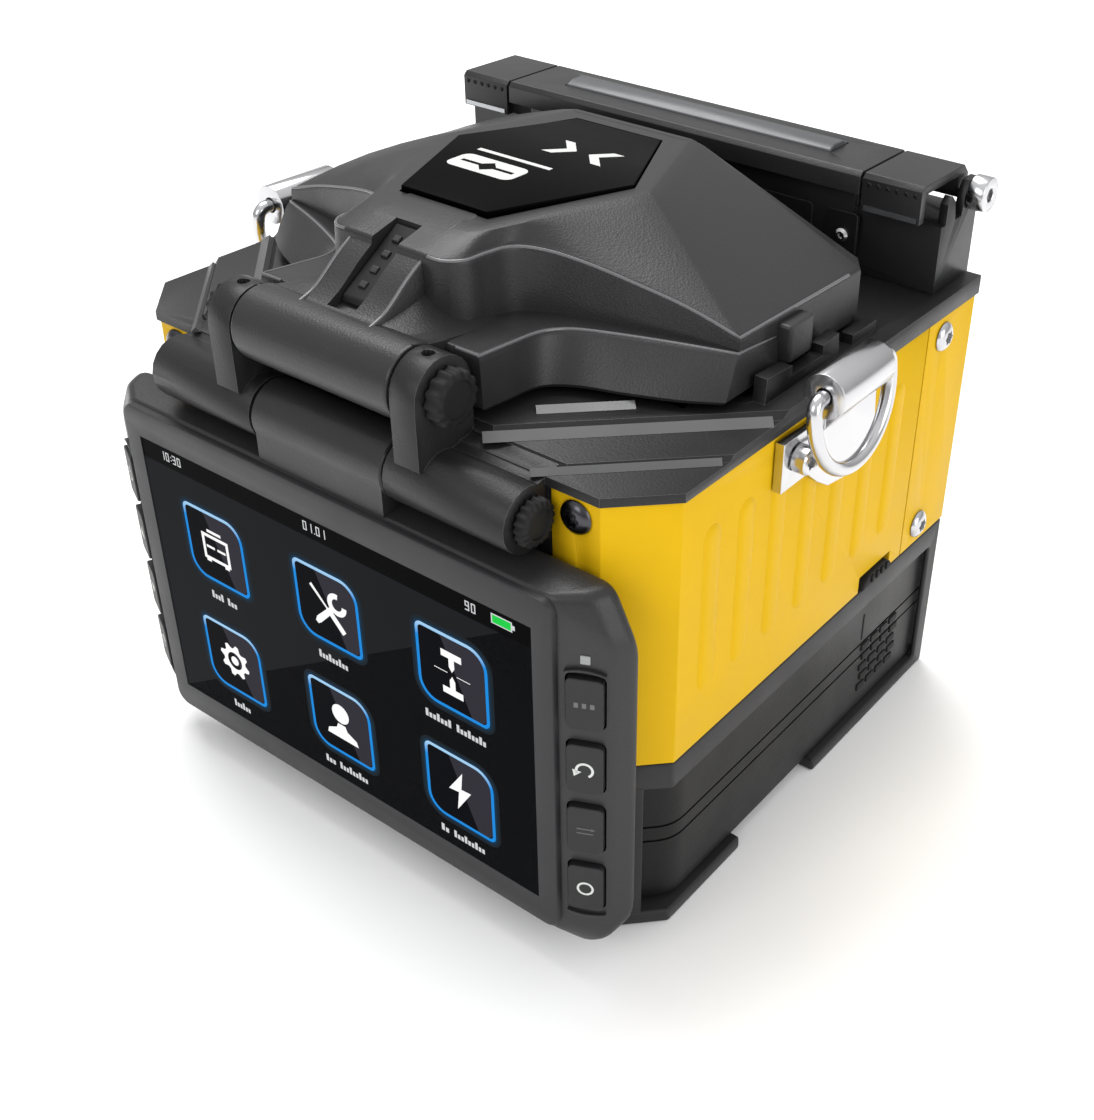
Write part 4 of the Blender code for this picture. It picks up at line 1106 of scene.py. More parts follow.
# ---------------------------------------------------------------- monitor
@dataclass
class Monitor(Assembly):
    """The monitor: case, front frame, keys and the lit screen."""

    glass_y: float = -68.15
    tile_size: float = 18.2
    columns: tuple[float, float, float] = (-33.9, -0.2, 33.6)
    rows: tuple[float, float] = (63.7, 34.0)
    caption_drop: float = 13.2
    face: tuple[Point2, Point2] = ((58.9, -66.9), (67.5, -62.9))
    key_z: tuple[float, float, float, float] = (70.2, 54.9, 39.6, 24.3)
    hinge: Point2 = (-60.5, 100.0)
    screen: tuple[float, float, float] = (53.7, 17.6, 84.2)
    bar_z: float = 79.5
    digits_z: float = 81.0

    def build(self) -> None:
        """Makes the housing, the keys and the lit picture."""
        self.case()
        self.bezel()
        self.carry("lcd_panel", Stock.GLASS)
        self.keys()
        self.face_details()
        self.picture()

    def lit(self, name: str, outlines: Sequence[Sequence[Point2]], finish: Stock, layer: int) -> None:
        """Lays flat lit marks on the glass.

        Args:
            name: The piece's name.
            outlines: Closed outlines as (x, z).
            finish: Their finish.
            layer: How many marks deep they lie over the glass.
        """
        front = self.glass_y - 0.012 * layer
        solids = [Shape.prism(outline, front, front + 0.01, "y") for outline in outlines]
        self.add(name, Shape.joined(*solids), finish, "monitor")

    def on_face(
        self, sign: int, z: float, outline: Sequence[Point2], lift: float, depth: float
    ) -> bmesh.types.BMesh:
        """Puts an outline on the slanted key face.

        Args:
            sign: 1 for the right side, -1 for the left side.
            z: The height of the outline's middle.
            outline: The outline as (away from the screen, up).
            lift: How far its front stands off the face.
            depth: How thick it is.

        Returns:
            The solid.
        """
        (x0, y0), (x1, y1) = self.face
        along = Vector((x1 - x0, y1 - y0, 0)).normalized()
        out = Vector((along.y, -along.x, 0))
        centre = Vector(((x0 + x1) / 2, (y0 + y1) / 2, z))
        loops = []
        for height in (lift - depth, lift):
            points = [centre + u * along + Vector((0, 0, v)) + height * out for u, v in outline]
            loops.append([(sign * p.x, p.y, p.z) for p in points])
        return Shape.loft(loops)

    def case(self) -> None:
        """Makes the rear case with softly rounded edges, its hinge knuckle and its key pockets."""
        sections = (
            (57.9, 9.8, 90.4, -66.9, 2.0, 3.0),
            (58.9, 9.0, 91.4, -66.7, 2.0, 3.0),
            (67.5, 5.2, 92.2, -62.9, 5.0, 9.0),
            (70.0, 6.2, 92.6, -59.0, 8.0, 11.0),
            (69.4, 9.4, 92.2, -57.7, 8.0, 11.0),
            (68.6, 11.4, 91.2, -57.4, 8.0, 11.0),
        )
        loops = []
        for half, low, high, y, cut_low, cut_high in sections:
            right = [(half - cut_low, low), (half, low + cut_low)]
            right += [(half, high - cut_high), (half - cut_high / 2, high)]
            outline = Shape.soften(right + [(-x, z) for x, z in reversed(right)], 2.6, 5)
            loops.append([(p.x, y, p.y) for p in outline])
        hinge_y, hinge_z = self.hinge
        barrel = [(17.4, 6.2, 0.0), (17.1, 6.6, 0.0), (-17.1, 6.6, 0.0), (-17.4, 6.2, 0.0)]
        solids = [
            Shape.loft(Shape.eased(loops, 1.3)),
            Shape.turned(barrel, (hinge_y, hinge_z), "x", 48),
            Shape.box((-17.0, hinge_y - 6.1, 86.6), (17.0, hinge_y + 2.6, hinge_z)),
        ]
        cutters = [
            Shape.box((-56.8, -70, 12.4), (56.8, -59.8, 89.6)),
            Shape.turned([(-60, 2.5, 0.0), (60, 2.5, 0.0)], (hinge_y, hinge_z), "x", 24),
        ]
        pocket = Shape.rounded((-3.85, -6.15), (3.85, 6.15), (1.4,) * 4, 5)
        cutters += [self.on_face(sign, z, pocket, 3.0, 7.3) for sign in (1, -1) for z in self.key_z]
        shell = Shape.carved(solids, cutters)
        piece = self.add("monitor_housing", shell, Stock.SHELL, "monitor", ("monitor_case",))
        weigh = piece.modifiers.new("FlatFaces", "WEIGHTED_NORMAL")
        weigh.keep_sharp = True

    def bezel(self) -> None:
        """Makes the flat front frame with its rounded corners."""
        loops = []
        for y, inset in ((-66.6, 0.0), (-67.8, 0.0), (-68.15, 0.12), (-68.3, 0.5)):
            plan = Shape.rounded((-58.4 + inset, 10.7 + inset), (58.4 - inset, 91.0 - inset), (3.2,) * 4, 8)
            loops.append([(x, y, z) for x, z in plan])
        window = Shape.box((-53.75, -75, 17.55), (53.75, -60, 84.25))
        rim = Shape.carved([Shape.loft(loops)], [window])
        self.add("monitor_frame", rim, Stock.FRAME, "monitor", ("monitor_bezel",))

    def keys(self) -> None:
        """Makes the eight keys, each with its printed symbol."""
        words = {1: ("set", "reset", "heat", "arc"), -1: ("power", "up", "down", "back")}
        for sign, names in words.items():
            for word, z in zip(names, self.key_z):
                body = f"key_{word}"
                plan = Shape.rounded((-3.5, -5.8), (3.5, 5.8), (1.1,) * 4, 4)
                cap = self.on_face(sign, z, plan, 1.2, 4.2)
                self.add(f"key_cap_{word}", cap, Stock.KEY, body, (f"button_{word}",), 0.7, 3)
                marks = [self.on_face(sign, z, mark, 1.24, 0.1) for mark in self.symbol(word)]
                print_kind = Stock.PRINT_FAINT if word in ("heat", "set") else Stock.PRINT
                self.add(f"key_print_{word}", Shape.joined(*marks), print_kind, body)

    @staticmethod
    def ring(radius: float, width: float, start: float, sweep: float, points: int = 24) -> list[Point2]:
        """An arc-shaped mark of a given width, centred on the origin."""
        outer = Shape.arc((0, 0), radius, start, sweep, points)
        return outer + list(reversed(Shape.arc((0, 0), radius - width, start, sweep, points)))

    def symbol(self, word: str) -> list[list[Point2]]:
        """The printed symbol of a key.

        Args:
            word: The key's name.

        Returns:
            Outlines as (away from the screen, up).
        """
        bar = Shape.bar
        halves = [self.ring(1.7, 0.45, 0, 180), self.ring(1.7, 0.45, 180, 180)]
        marks = {
            "set": [bar(-1.5, 0, 0.8, 1.1), bar(0, 0, 0.8, 1.1), bar(1.5, 0, 0.8, 1.1)],
            "reset": [self.ring(1.8, 0.5, -60, 270), [(-2.3, 0.1), (-0.6, -0.4), (-2.0, -1.6)]],
            "heat": [
                bar(0, 0.55, 3.2, 0.22), bar(0, -0.55, 3.2, 0.22), [(1.2, 0.9), (2.0, 0.55), (1.2, 0.2)],
            ],
            "arc": halves,
            "power": [self.ring(1.6, 0.35, 120, 300), bar(0, 1.3, 0.4, 1.6)],
            "up": [[(-1.5, -1.1), (1.5, -1.1), (0, 1.5)]],
            "down": [[(-1.5, 1.1), (0, -1.5), (1.5, 1.1)]],
            "back": [self.ring(1.5, 0.35, -130, 250), [(-1.6, 0.2), (-0.2, 1.0), (-0.3, 2.2), (-2.1, 1.4)]],
        }
        return marks[word]

    def face_details(self) -> None:
        """Adds the status light and the raised brows round the keys on both slanted faces."""
        for side, sign in SIDES.items():
            window = Shape.rounded((-0.9, -0.9), (0.9, 0.9), (0.15,) * 4, 3)
            light = self.on_face(sign, 79.6, window, 0.12, 0.5)
            self.add(f"status_light_{side}", light, Stock.DIODE, "monitor")
            for level, z, bend in (("upper", 77.0, 0.7), ("lower", 17.2, -0.7)):
                brow = [(u, bend * (1 - (u / 3.9) ** 2)) for u in (-3.9, -2.6, -1.3, 0, 1.3, 2.6, 3.9)]
                outline = brow + [(u, v - 0.55) for u, v in reversed(brow)]
                solid = self.on_face(sign, z, outline, 0.75, 1.2)
                self.add(f"key_brow_{level}_{side}", solid, Stock.SHELL, "monitor", (), 0.22)

    def picture(self) -> None:
        """Lays the lit screen: ground, status bar, six tiles with symbols, and captions."""
        x, low, high = self.screen
        self.lit("screen_ground", [[(-x, low), (x, low), (x, high), (-x, high)]], Stock.SCREEN, 0)
        self.lit("screen_bar", [[(-x, self.bar_z), (x, self.bar_z), (x, high), (-x, high)]], Stock.BAR, 1)
        self.status_line()
        for row, z in enumerate(self.rows):
            rim = Stock.RIM_HIGH if row == 0 else Stock.RIM_LOW
            for column, centre in enumerate(self.columns):
                tag = f"{row + 1}{column + 1}"
                half = self.tile_size / 2
                corners = ((centre - half, z - half), (centre + half, z + half))
                edge = Shape.rounded(corners[0], corners[1], (4.8, 1.6, 4.8, 1.6), 8)
                for reach, name, halo in ((1.3, "halo_faint", Stock.HALO_FAINT), (0.55, "halo", Stock.HALO)):
                    a = (corners[0][0] - reach, corners[0][1] - reach)
                    b = (corners[1][0] + reach, corners[1][1] + reach)
                    wide = Shape.rounded(a, b, (4.8 + reach, 1.6 + reach, 4.8 + reach, 1.6 + reach), 8)
                    self.lit(f"tile_{name}_{tag}", [wide], halo, 1 if halo is Stock.HALO_FAINT else 2)
                self.lit(f"tile_rim_{tag}", [edge], rim, 3)
                inset = 0.75
                a = (corners[0][0] + inset, corners[0][1] + inset)
                b = (corners[1][0] - inset, corners[1][1] - inset)
                inner = Shape.rounded(a, b, (4.1, 1.0, 4.1, 1.0), 8)
                self.lit(f"tile_{tag}", [inner], Stock.TILE, 4)
                arc_part = Shape.arc((b[0] - 4.1, b[1] - 4.1), 4.1, 0, 90, 8)
                sheen = [(centre + 4.6, a[1]), (b[0] - 1.0, a[1]), (b[0], a[1] + 1.0)] + arc_part
                sheen += [(centre - 2.6, b[1])]
                self.lit(f"tile_sheen_{tag}", [sheen], Stock.TILE_SHEEN, 5)
                marks = [[(centre + u, z + v) for u, v in mark] for mark in self.glyph(row * 3 + column)]
                self.lit(f"tile_mark_{tag}", marks, Stock.WHITE, 7)
                self.caption(tag, centre, z - self.caption_drop, row * 3 + column)

    def caption(self, tag: str, x: float, z: float, kind: int) -> None:
        """Lays a caption as a row of short strokes, which stand for small print."""
        lengths = ((5, 4), (11,), (9, 10), (7,), (4, 11), (3, 11))[kind]
        widths = [0.78 * n for n in lengths]
        start = x - (sum(widths) + 1.2 * (len(widths) - 1)) / 2
        strokes = []
        for width in widths:
            count = max(2, round(width / 0.95))
            pitch = width / count
            for i in range(count):
                left = start + i * pitch
                tall = 1.2 if i % 3 else 1.9
                strokes.append([(left, z - 0.75), (left + pitch * 0.72, z - 0.75),
                                (left + pitch * 0.72, z - 0.75 + tall), (left, z - 0.75 + tall)])
            start += width + 1.2
        self.lit(f"caption_{tag}", strokes, Stock.CAPTION, 1)

    def status_line(self) -> None:
        """Lays the clock, the date and the battery gauge on the status bar."""
        marks = []
        for text, x in (("10:30", -47.5), ("01.01", -4.5), ("90", 38.0)):
            marks += self.digits(text, x, self.digits_z)
        self.lit("status_digits", marks, Stock.CAPTION, 3)
        case = [(44.3, 81.0), (49.3, 81.0), (49.3, 81.6), (49.9, 81.6)]
        case += [(49.9, 82.6), (49.3, 82.6), (49.3, 83.2), (44.3, 83.2)]
        self.lit("gauge_case", [case], Stock.CAPTION, 3)
        level = [(44.6, 81.25), (49.0, 81.25), (49.0, 82.95), (44.6, 82.95)]
        self.lit("gauge_level", [level], Stock.GREEN, 5)

    @staticmethod
    def digits(text: str, x: float, z: float) -> list[list[Point2]]:
        """Draws numbers with seven straight strokes.

        Args:
            text: Digits, colons and points.
            x: Where the first one starts.
            z: The baseline.

        Returns:
            The outline of each stroke.
        """
        strokes = {"0": "abcdef", "1": "bc", "3": "abcdg", "9": "abcdfg"}
        tall, wide, pen = 2.1, 1.05, 0.26
        lines = {
            "a": (0, tall - pen, wide, pen),
            "b": (wide - pen, tall / 2, pen, tall / 2),
            "c": (wide - pen, 0, pen, tall / 2),
            "d": (0, 0, wide, pen),
            "e": (0, 0, pen, tall / 2),
            "f": (0, tall / 2, pen, tall / 2),
            "g": (0, tall / 2 - pen / 2, wide, pen),
            ":": (0.1, 0.5, pen, pen),
            "'": (0.1, 1.3, pen, pen),
            ".": (0.1, 0, pen, pen),
        }
        outlines = []
        for letter in text:
            names = ":'" if letter == ":" else strokes.get(letter, letter)
            for name in names:
                left, base, w, h = lines[name]
                a, b = x + left, z + base
                outlines.append([(a, b), (a + w, b), (a + w, b + h), (a, b + h)])
            x += 1.5 if letter in strokes else 0.65
        return outlines

    def glyph(self, kind: int) -> list[list[Point2]]:
        """The white symbol of a tile: case, tools, electrodes, gear, person or bolt.

        Args:
            kind: Which tile, from the upper left.

        Returns:
            Outlines about the tile's middle.
        """
        bar = Shape.bar
        if kind == 0:
            marks = [bar(0, 2.8, 8.4, 0.8), bar(0, -3.0, 8.4, 0.8)]
            marks += [bar(-3.8, -0.1, 0.8, 5.0), bar(3.8, -0.1, 0.8, 5), bar(0, 4.1, 4.4, 0.7)]
            marks += [bar(-1.7, 0, 2.6, 0.6), bar(1.7, 0, 2.6, 0.6)]
            return marks + [bar(-2.9, -3.7, 1.4, 0.6), bar(2.9, -3.7, 1.4, 0.6)]
        if kind == 1:
            driver = [(-4.6, 4.2), (-4.0, 4.8), (0.1, 0.4), (1.1, 0.2)]
            driver += [(4.9, -3.9), (3.9, -4.9), (-0.1, -0.7), (-0.3, 0.1)]
            wrench = [(1.5, 1.5), (-3.4, -3.2), (-3.9, -4.4), (-3.2, -5.0), (-2.3, -4.4), (2.4, 0.5)]
            jaw = [(x + 3.0, y + 2.2) for x, y in self.ring(2.7, 1.3, 80, 280, 20)]
            return [driver, wrench, jaw]
        if kind == 2:
            upper = [(-2.6, 5.2), (2.6, 5.2), (2.6, 3.6), (0.7, 3.6), (0.7, 1.6)]
            upper += [(0.0, 0.5), (-0.7, 1.6), (-0.7, 3.6), (-2.6, 3.6)]
            lower = [(x, -y) for x, y in reversed(upper)]
            return [upper, lower, bar(-2.9, 0, 3.4, 0.16), bar(2.9, 0, 3.4, 0.16)]
        if kind == 3:
            teeth = []
            for i in range(32):
                t = 2 * math.pi * i / 32
                reach = 4.6 if (i // 2) % 2 else 3.5
                teeth.append((reach * math.cos(t), reach * math.sin(t)))
            rim = teeth + [teeth[0]]
            hub = Shape.arc((0, 0), 2.3, 0, 360, 33)
            cut = rim + list(reversed(hub))
            return [cut, Shape.arc((0, 0), 1.2, 0, 345, 24)]
        if kind == 4:
            head = Shape.arc((0, 2.3), 2.5, 0, 345, 24)
            bust = [(-4.6, -4.6), (4.6, -4.6), (4.2, -3.2), (1.6, -1.9)]
            bust += [(1.1, -0.6), (-1.1, -0.6), (-1.6, -1.9), (-4.2, -3.2)]
            return [head, bust]
        return [[(0.9, 5.2), (-3.0, -0.6), (-0.3, -0.3), (-0.9, -5.2), (3.0, 0.9), (0.4, 0.7)]]


# ---------------------------------------------------------------- wind cover
@dataclass
class WindCover(Assembly):
    """The hinged cover over the well, with its label and its grip."""

    base_z: float = 110.6
    lip_radius: float = 7.5
    lip_end: float = 20.4
    axis: Point2 = (-59.2, 117.4)
    fall: float = -0.0878
    steps: tuple[int, ...] = (5, 44, 10, 3, 8)
    rim_z: float = 137.44
    rim_rise: float = 0.0224
    bead_radius: float = 0.34
    label_z: float = 138.1
    stud_count: int = 4

    def build(self) -> None:
        """Makes the cover's shell and its trim."""
        self.shell()
        self.beads()
        self.carry("fiber_presser", Stock.ALUMINIUM, 0.2)
        self.carry("cover_label", Stock.LABEL, 0.25, 3)
        self.label_marks()
        self.grip()

    def ring(self, groups: Sequence[Sequence[Sequence[float]]], steps: Sequence[int] = ()) -> list[Vector]:
        """A smooth closed loop from its right half, which runs from the front to the rear."""
        half = Shape.flow(groups, steps or self.steps)
        return half + [Vector((-p[0], *p[1:])) for p in reversed(half) if p[0] > 1e-6]

    def brim_edge(self) -> list[Vector]:
        """The flange's upper edge in plan, before its rounding."""
        return self.ring((
            ((0, -51.6), (28.7, -51.6)),
            (
                (28.7, -51.6), (28.5, -42.9), (28.7, -34.5), (31.6, -29.6), (38.0, -25.9), (47.5, -21.6),
                (60.5, -16.6),
            ),
            ((60.5, -16.6), (60.5, 26.0)),
            ((60.5, 26.0), (57.0, 30.5)),
            ((57.0, 30.5), (0, 30.5)),
        ))

    def brim(self) -> bmesh.types.BMesh:
        """The flange that stands on the deck, with its rounded upper edge.

        Returns:
            The solid.
        """
        edge = self.brim_edge()
        foot = self.ring((
            ((0, -51.0), (28.6, -51.0)),
            (
                (28.6, -51.0), (29.4, -45.3), (30.6, -37.5), (35.5, -33.4), (44.2, -30.2), (54.0, -26.0),
                (61.2, -21.5),
            ),
            ((61.2, -21.5), (61.2, 24.5)),
            ((61.2, 24.5), (57.5, 29.0)),
            ((57.5, 29.0), (0, 29.0)),
        ))
        levels = []
        # How far up the wall each level lies, and how far it draws in there.
        wall = ((0.0, 0.7), (0.07, 0.0), (0.45, -0.1), (0.86, 0.0), (0.93, 0.12), (0.98, 0.5), (1.0, 1.1))
        for share, inward in wall:
            points = [a.lerp(b, share) for a, b in zip(foot, edge)]
            plan = Shape.inset(points, inward)
            tops = [117.95 + self.fall * p.y for p in plan]
            heights = [self.base_z + share * (top - self.base_z) for top in tops]
            levels.append([(p.x, p.y, z) for p, z in zip(plan, heights)])
        return Shape.loft(levels)

    def dome_edge(self) -> list[Vector]:
        """The hump's upper edge, before its rounding."""
        front = ((9.0, -45.2, 134.4), (13.6, -44.6, 134.1), (16.6, -41.2, 133.9), (17.0, -36.5, 133.8),
                 (18.2, -30.4, 133.6), (22.6, -26.2, 132.7), (30.0, -23.0, 131.0), (39.0, -20.2, 128.6),
                 (49.6, -17.4, 125.6), (60.2, -15.9, 122.2))
        return self.ring((
            ((0, -45.2, 134.4), (9.0, -45.2, 134.4)),
            front,
            ((60.2, -15.9, 122.2), (61.2, 26.6, 122.2)),
            ((61.2, 26.6, 122.2), (58.0, 31.1, 122.4)),
            ((58.0, 31.1, 122.4), (0, 31.1, 122.6)),
        ))

    def dome(self) -> bmesh.types.BMesh:
        """The hump: its steep wall, its bright edge, the facets above and the rim round the label.

        Returns:
            The solid.
        """
        edge = self.dome_edge()
        rim = self.ring((
            ((0, -36.4), (9.0, -36.4)),
            ((9.0, -36.4), (13.6, -34.8), (15.6, -30.8), (20.6, -17.0), (26.6, -4.0), (28.0, 0.6)),
            ((28.0, 0.6), (16.6, 30.4)),
            ((16.6, 30.4), (15.8, 30.9)),
            ((15.8, 30.9), (0, 30.9)),
        ))
        drafts = [1.1 * min(1.0, max(0.0, (60.0 - abs(p.x)) / 8.0)) for p in edge]
        foot = Shape.inset(edge, [-d for d in drafts])
        low = [(p.x, p.y, self.base_z + 1.5) for p in foot]
        levels = [low]
        for inward, drop in ((0.02, 1.1), (0.1, 0.5), (0.35, 0.12), (0.85, -0.16)):
            outer = Shape.inset(edge, inward)
            levels.append([(p.x, p.y, p.z - drop) for p in outer])
        plan = [(p.x, p.y, self.rim_z - 0.02 + self.rim_rise * p.y) for p in rim]
        last = levels[-1]
        # The facets run straight up to the rim on the right. The left wing swells a little in between.
        for share, lift in ((0.12, 0.55), (0.3, 1.2), (0.5, 1.5), (0.72, 1.1), (0.93, 0.3)):
            level = []
            for low_point, high_point in zip(last, plan):
                fullness = min(1.0, max(0.0, (-low_point[0] - 18.0) / 30.0))
                at = Vector(low_point).lerp(Vector(high_point), share)
                level.append((at.x, at.y, at.z + lift * fullness))
            levels.append(level)
        for inward, drop in ((0.5, 0.1), (1.3, -0.02), (2.6, -0.05)):
            inner = Shape.inset(plan, inward)
            levels.append([(p.x, p.y, self.rim_z + self.rim_rise * p.y - drop) for p in inner])
        return Shape.loft(levels)

    def tongue(self) -> list[bmesh.types.BMesh]:
        """The ridge that runs from the hinge up to the label, and the two ramps beside it.

        Returns:
            The solids.
        """
        lip = Shape.arc(self.axis, self.lip_radius, 270, -125, 15)
        ridge = [(-54.8, 126.2), (-48.0, 131.2), (-40.0, 135.6), (-34.0, 136.9), (-20.0, 137.2)]
        curve = Shape.flow((((lip[-1][0], lip[-1][1], 0), *((y, z, 0) for y, z in ridge)),), (16,))
        top = lip[:-1] + [(p.x, p.y) for p in curve]
        loops = []
        side_steps = ((9.9, 3.0), (9.5, 0.7), (9.2, 0.25), (8.5, 0.0))
        for x, drop in (*side_steps, *((-x, drop) for x, drop in reversed(side_steps))):
            near = 1.0 - min(drop, 1.0) / self.lip_radius
            turn_y, turn_z = self.axis
            profile = [(turn_y + near * (y - turn_y), turn_z + near * (z - turn_z)) for y,
                       z in top[: len(lip)]]
            profile += [(y + drop * 0.4, z - drop) for y, z in top[len(lip):]]
            profile += [(-20.0, self.base_z + 1), (-50.2, self.base_z + 1)]
            loops.append([(x, y, z) for y, z in profile])
        inner = [(-60.5, 124.0), (-56.0, 124.6), (-46.0, 127.2), (-36.0, 129.6), (-36.0, 112.2),
                 (-58.0, 112.2)]
        outer = [(-60.5, 123.6), (-55.0, 123.3), (-46.0, 122.1), (-36.0, 121.0), (-36.0, 112.0),
                 (-58.0, 112.0)]
        ramps = []
        for sign in (1, -1):
            sections = [(sign * 6.0, inner), (sign * 9.0, inner)]
            blend = []
            for t in (0.45, 0.75, 0.93, 1.0):
                pairs = zip(inner, outer)
                blend.append([((1 - t) * a[0] + t * b[0], (1 - t) * a[1] + t * b[1]) for a, b in pairs])
            sections += list(zip((sign * 12.2, sign * 15.0, sign * 17.6, sign * 20.2), blend))
            ramps.append(Shape.loft([[(x, y, z) for y, z in profile] for x, profile in sections]))
        return [Shape.loft(loops), *ramps]

    def beads(self) -> None:
        """Lays a fine pale bead along the flange, the hump and the tongue: a painted highlight on their
        edges.
        """
        radius = self.bead_radius
        plan = Shape.inset(self.brim_edge(), radius)
        brim = [Vector((p.x, p.y, 117.95 + self.fall * p.y - 0.3)) for p in plan]
        dome = [Vector((p.x, p.y, p.z - 0.27)) for p in Shape.inset(self.dome_edge(), radius)]
        lines = [[p for p in brim[: len(brim) // 2] if p.x > 21.2 and p.y < 25.0]]
        lines.append([p for p in dome[: len(dome) // 2] if p.x > 9.6 and p.y < 26.0])
        profile = ((-61.6, 124.0), (-58.6, 124.6), (-54.8, 126.0), (-48.0, 131.0), (-40.6, 135.1))
        ridge = tuple((9.1, y, z) for y, z in profile)
        lines.append(Shape.flow((ridge,), (24,)))
        for side, sign in SIDES.items():
            paths = [[(sign * p.x, p.y, p.z) for p in line] for line in lines]
            wires = [Shape.tube(path, radius, False, 10) for path in paths]
            self.add(f"cover_highlight_bead_{side}", Shape.joined(*wires), Stock.EDGE, "cover")

    def shell(self) -> None:
        """Makes the moulded shell: flange, hump, tongue and hinge lip in one, hollow underneath."""
        ends = ((self.lip_end, 0.6), (self.lip_end - 0.2, 0.2), (self.lip_end - 0.7, 0.0))
        steps = [(x, self.lip_radius - r, 0.0) for x, r in ends]
        steps += [(-x, r, lobe) for x, r, lobe in reversed(steps)]
        lip = Shape.turned(steps, self.axis, "x", 64)
        foot = self.base_z + 1.2
        outline = [(-59.2, 124.88), (-55.5, 123.6), (-50.0, 122.5), (-50.0, foot), (-59.2, foot)]
        web = Shape.prism(outline, -self.lip_end, self.lip_end, "x")
        solids = [self.brim(), self.dome(), *self.tongue(), lip, web]
        for sign in (1, -1):
            loops = []
            for x, inset, radius in ((59.0, 0.0, 0.8), (62.7, 0.0, 0.8), (63.3, 0.3, 0.8), (63.5, 0.9, 0.6)):
                low_corner, high_corner = (-3.4 + inset, 112.6 + inset), (5.4 - inset, 120.6 - inset)
                plan = Shape.rounded(low_corner, high_corner, (radius,) * 4, 4)
                loops.append([(sign * x, y, z) for y, z in plan])
            solids.append(Shape.loft(loops))
        low = self.base_z - 5
        hollow = []
        for x, front, rear, z in (
            (57.5, -18.0, 25.0, low), (57.5, -18.0, 25.0, 116.0), (53.0, -13.0, 24.0, 120.0),
            (15.0, -20.0, 22.0, 134.2),
        ):
            hollow.append([(-x, front, z), (x, front, z), (x, rear, z), (-x, rear, z)])
        front_hollow = [(-48.0, low), (-48.0, 119.5), (-38.0, 126.0)]
        front_hollow += [(-30.0, 132.5), (-19.0, 133.5), (-17.0, low)]
        slot = [(-58, 124), (-54.6, 128.8), (-38.4, 139), (-38.4, 133.6), (-53.8, 124)]
        label = Shape.mirrored([(11.5, -29.5), (23.7, 0.0), (11.7, 25.5)])
        cutters = [
            Shape.loft(hollow),
            Shape.prism(front_hollow, -7.5, 7.5, "x"),
            Shape.box((-26, -48, low), (26, -17, 118.6)),
            Shape.prism(slot, -3.3, 3.3, "x"),
            Shape.turned([(-40, 1.9, 0.0), (40, 1.9, 0.0)], self.axis, "x", 24),
            Shape.prism(label, 136.25, 145),
        ]
        shell = Shape.carved(solids, cutters)
        piece = self.add("cover_shell", shell, Stock.SHELL, "cover", ("wind_cover",))
        weigh = piece.modifiers.new("FlatFaces", "WEIGHTED_NORMAL")
        weigh.keep_sharp = True

    def label_marks(self) -> None:
        """Prints a pale plate with a splice sign and two facing chevrons on the label."""
        top = self.label_z
        plate = Shape.rounded((-14.0, -14.6), (3.2, -7.0), (2.0,) * 4, 6)
        marks = [plate]
        chevron = ((1.6, 0), (5.2, 4.0), (7.8, 4.0), (4.2, 0), (7.8, -4.0), (5.2, -4.0))
        for sign in (1, -1):
            marks.append([(4.0 + sign * x, 8.0 + y) for x, y in chevron])
        marks.append([(-14.0, -4.4), (5.4, -4.4), (5.4, -3.2), (-14.0, -3.2)])
        solids = [Shape.prism(mark, top - 0.02, top + 0.05) for mark in marks]
        self.add("label_print", Shape.joined(*solids), Stock.PRINT, "cover")
        signs = [[(-12.2, -11.3), (-7.4, -11.3), (-7.4, -10.3), (-12.2, -10.3)],
                 [(-3.4, -11.3), (1.4, -11.3), (1.4, -10.3), (-3.4, -10.3)],
                 [(-5.4, -13.2), (-3.0, -10.8), (-5.4, -8.4), (-7.8, -10.8)]]
        inks = [Shape.prism(mark, top + 0.04, top + 0.08) for mark in signs]
        self.add("label_print_sign", Shape.joined(*inks), Stock.LABEL, "cover")

    def grip(self) -> None:
        """Makes the ribbed rubber strip that lies in the cover's front slot."""
        self.carry("cover_grip", Stock.RUBBER, 0.4, 3)
        start, end = Vector((0, -52.6, 126.7)), Vector((0, -40.3, 134.7))
        along = (end - start).normalized()
        up = Vector((0, -along.z, along.y))
        studs = []
        for i in range(self.stud_count):
            centre = start.lerp(end, (i + 0.5) / self.stud_count)
            loops = []
            for height, half_x, half_s in ((-0.6, 0.9, 0.8), (0.15, 0.9, 0.8), (0.4, 0.7, 0.6)):
                corners = ((-half_x, -half_s), (half_x, -half_s), (half_x, half_s), (-half_x, half_s))
                loops.append([tuple(centre + Vector((x, 0, 0)) + s * along + height * up) for x,
                              s in corners])
            studs.append(Shape.loft(loops))
        self.add("grip_studs", Shape.joined(*studs), Stock.KEY, "cover", (), 0.2)


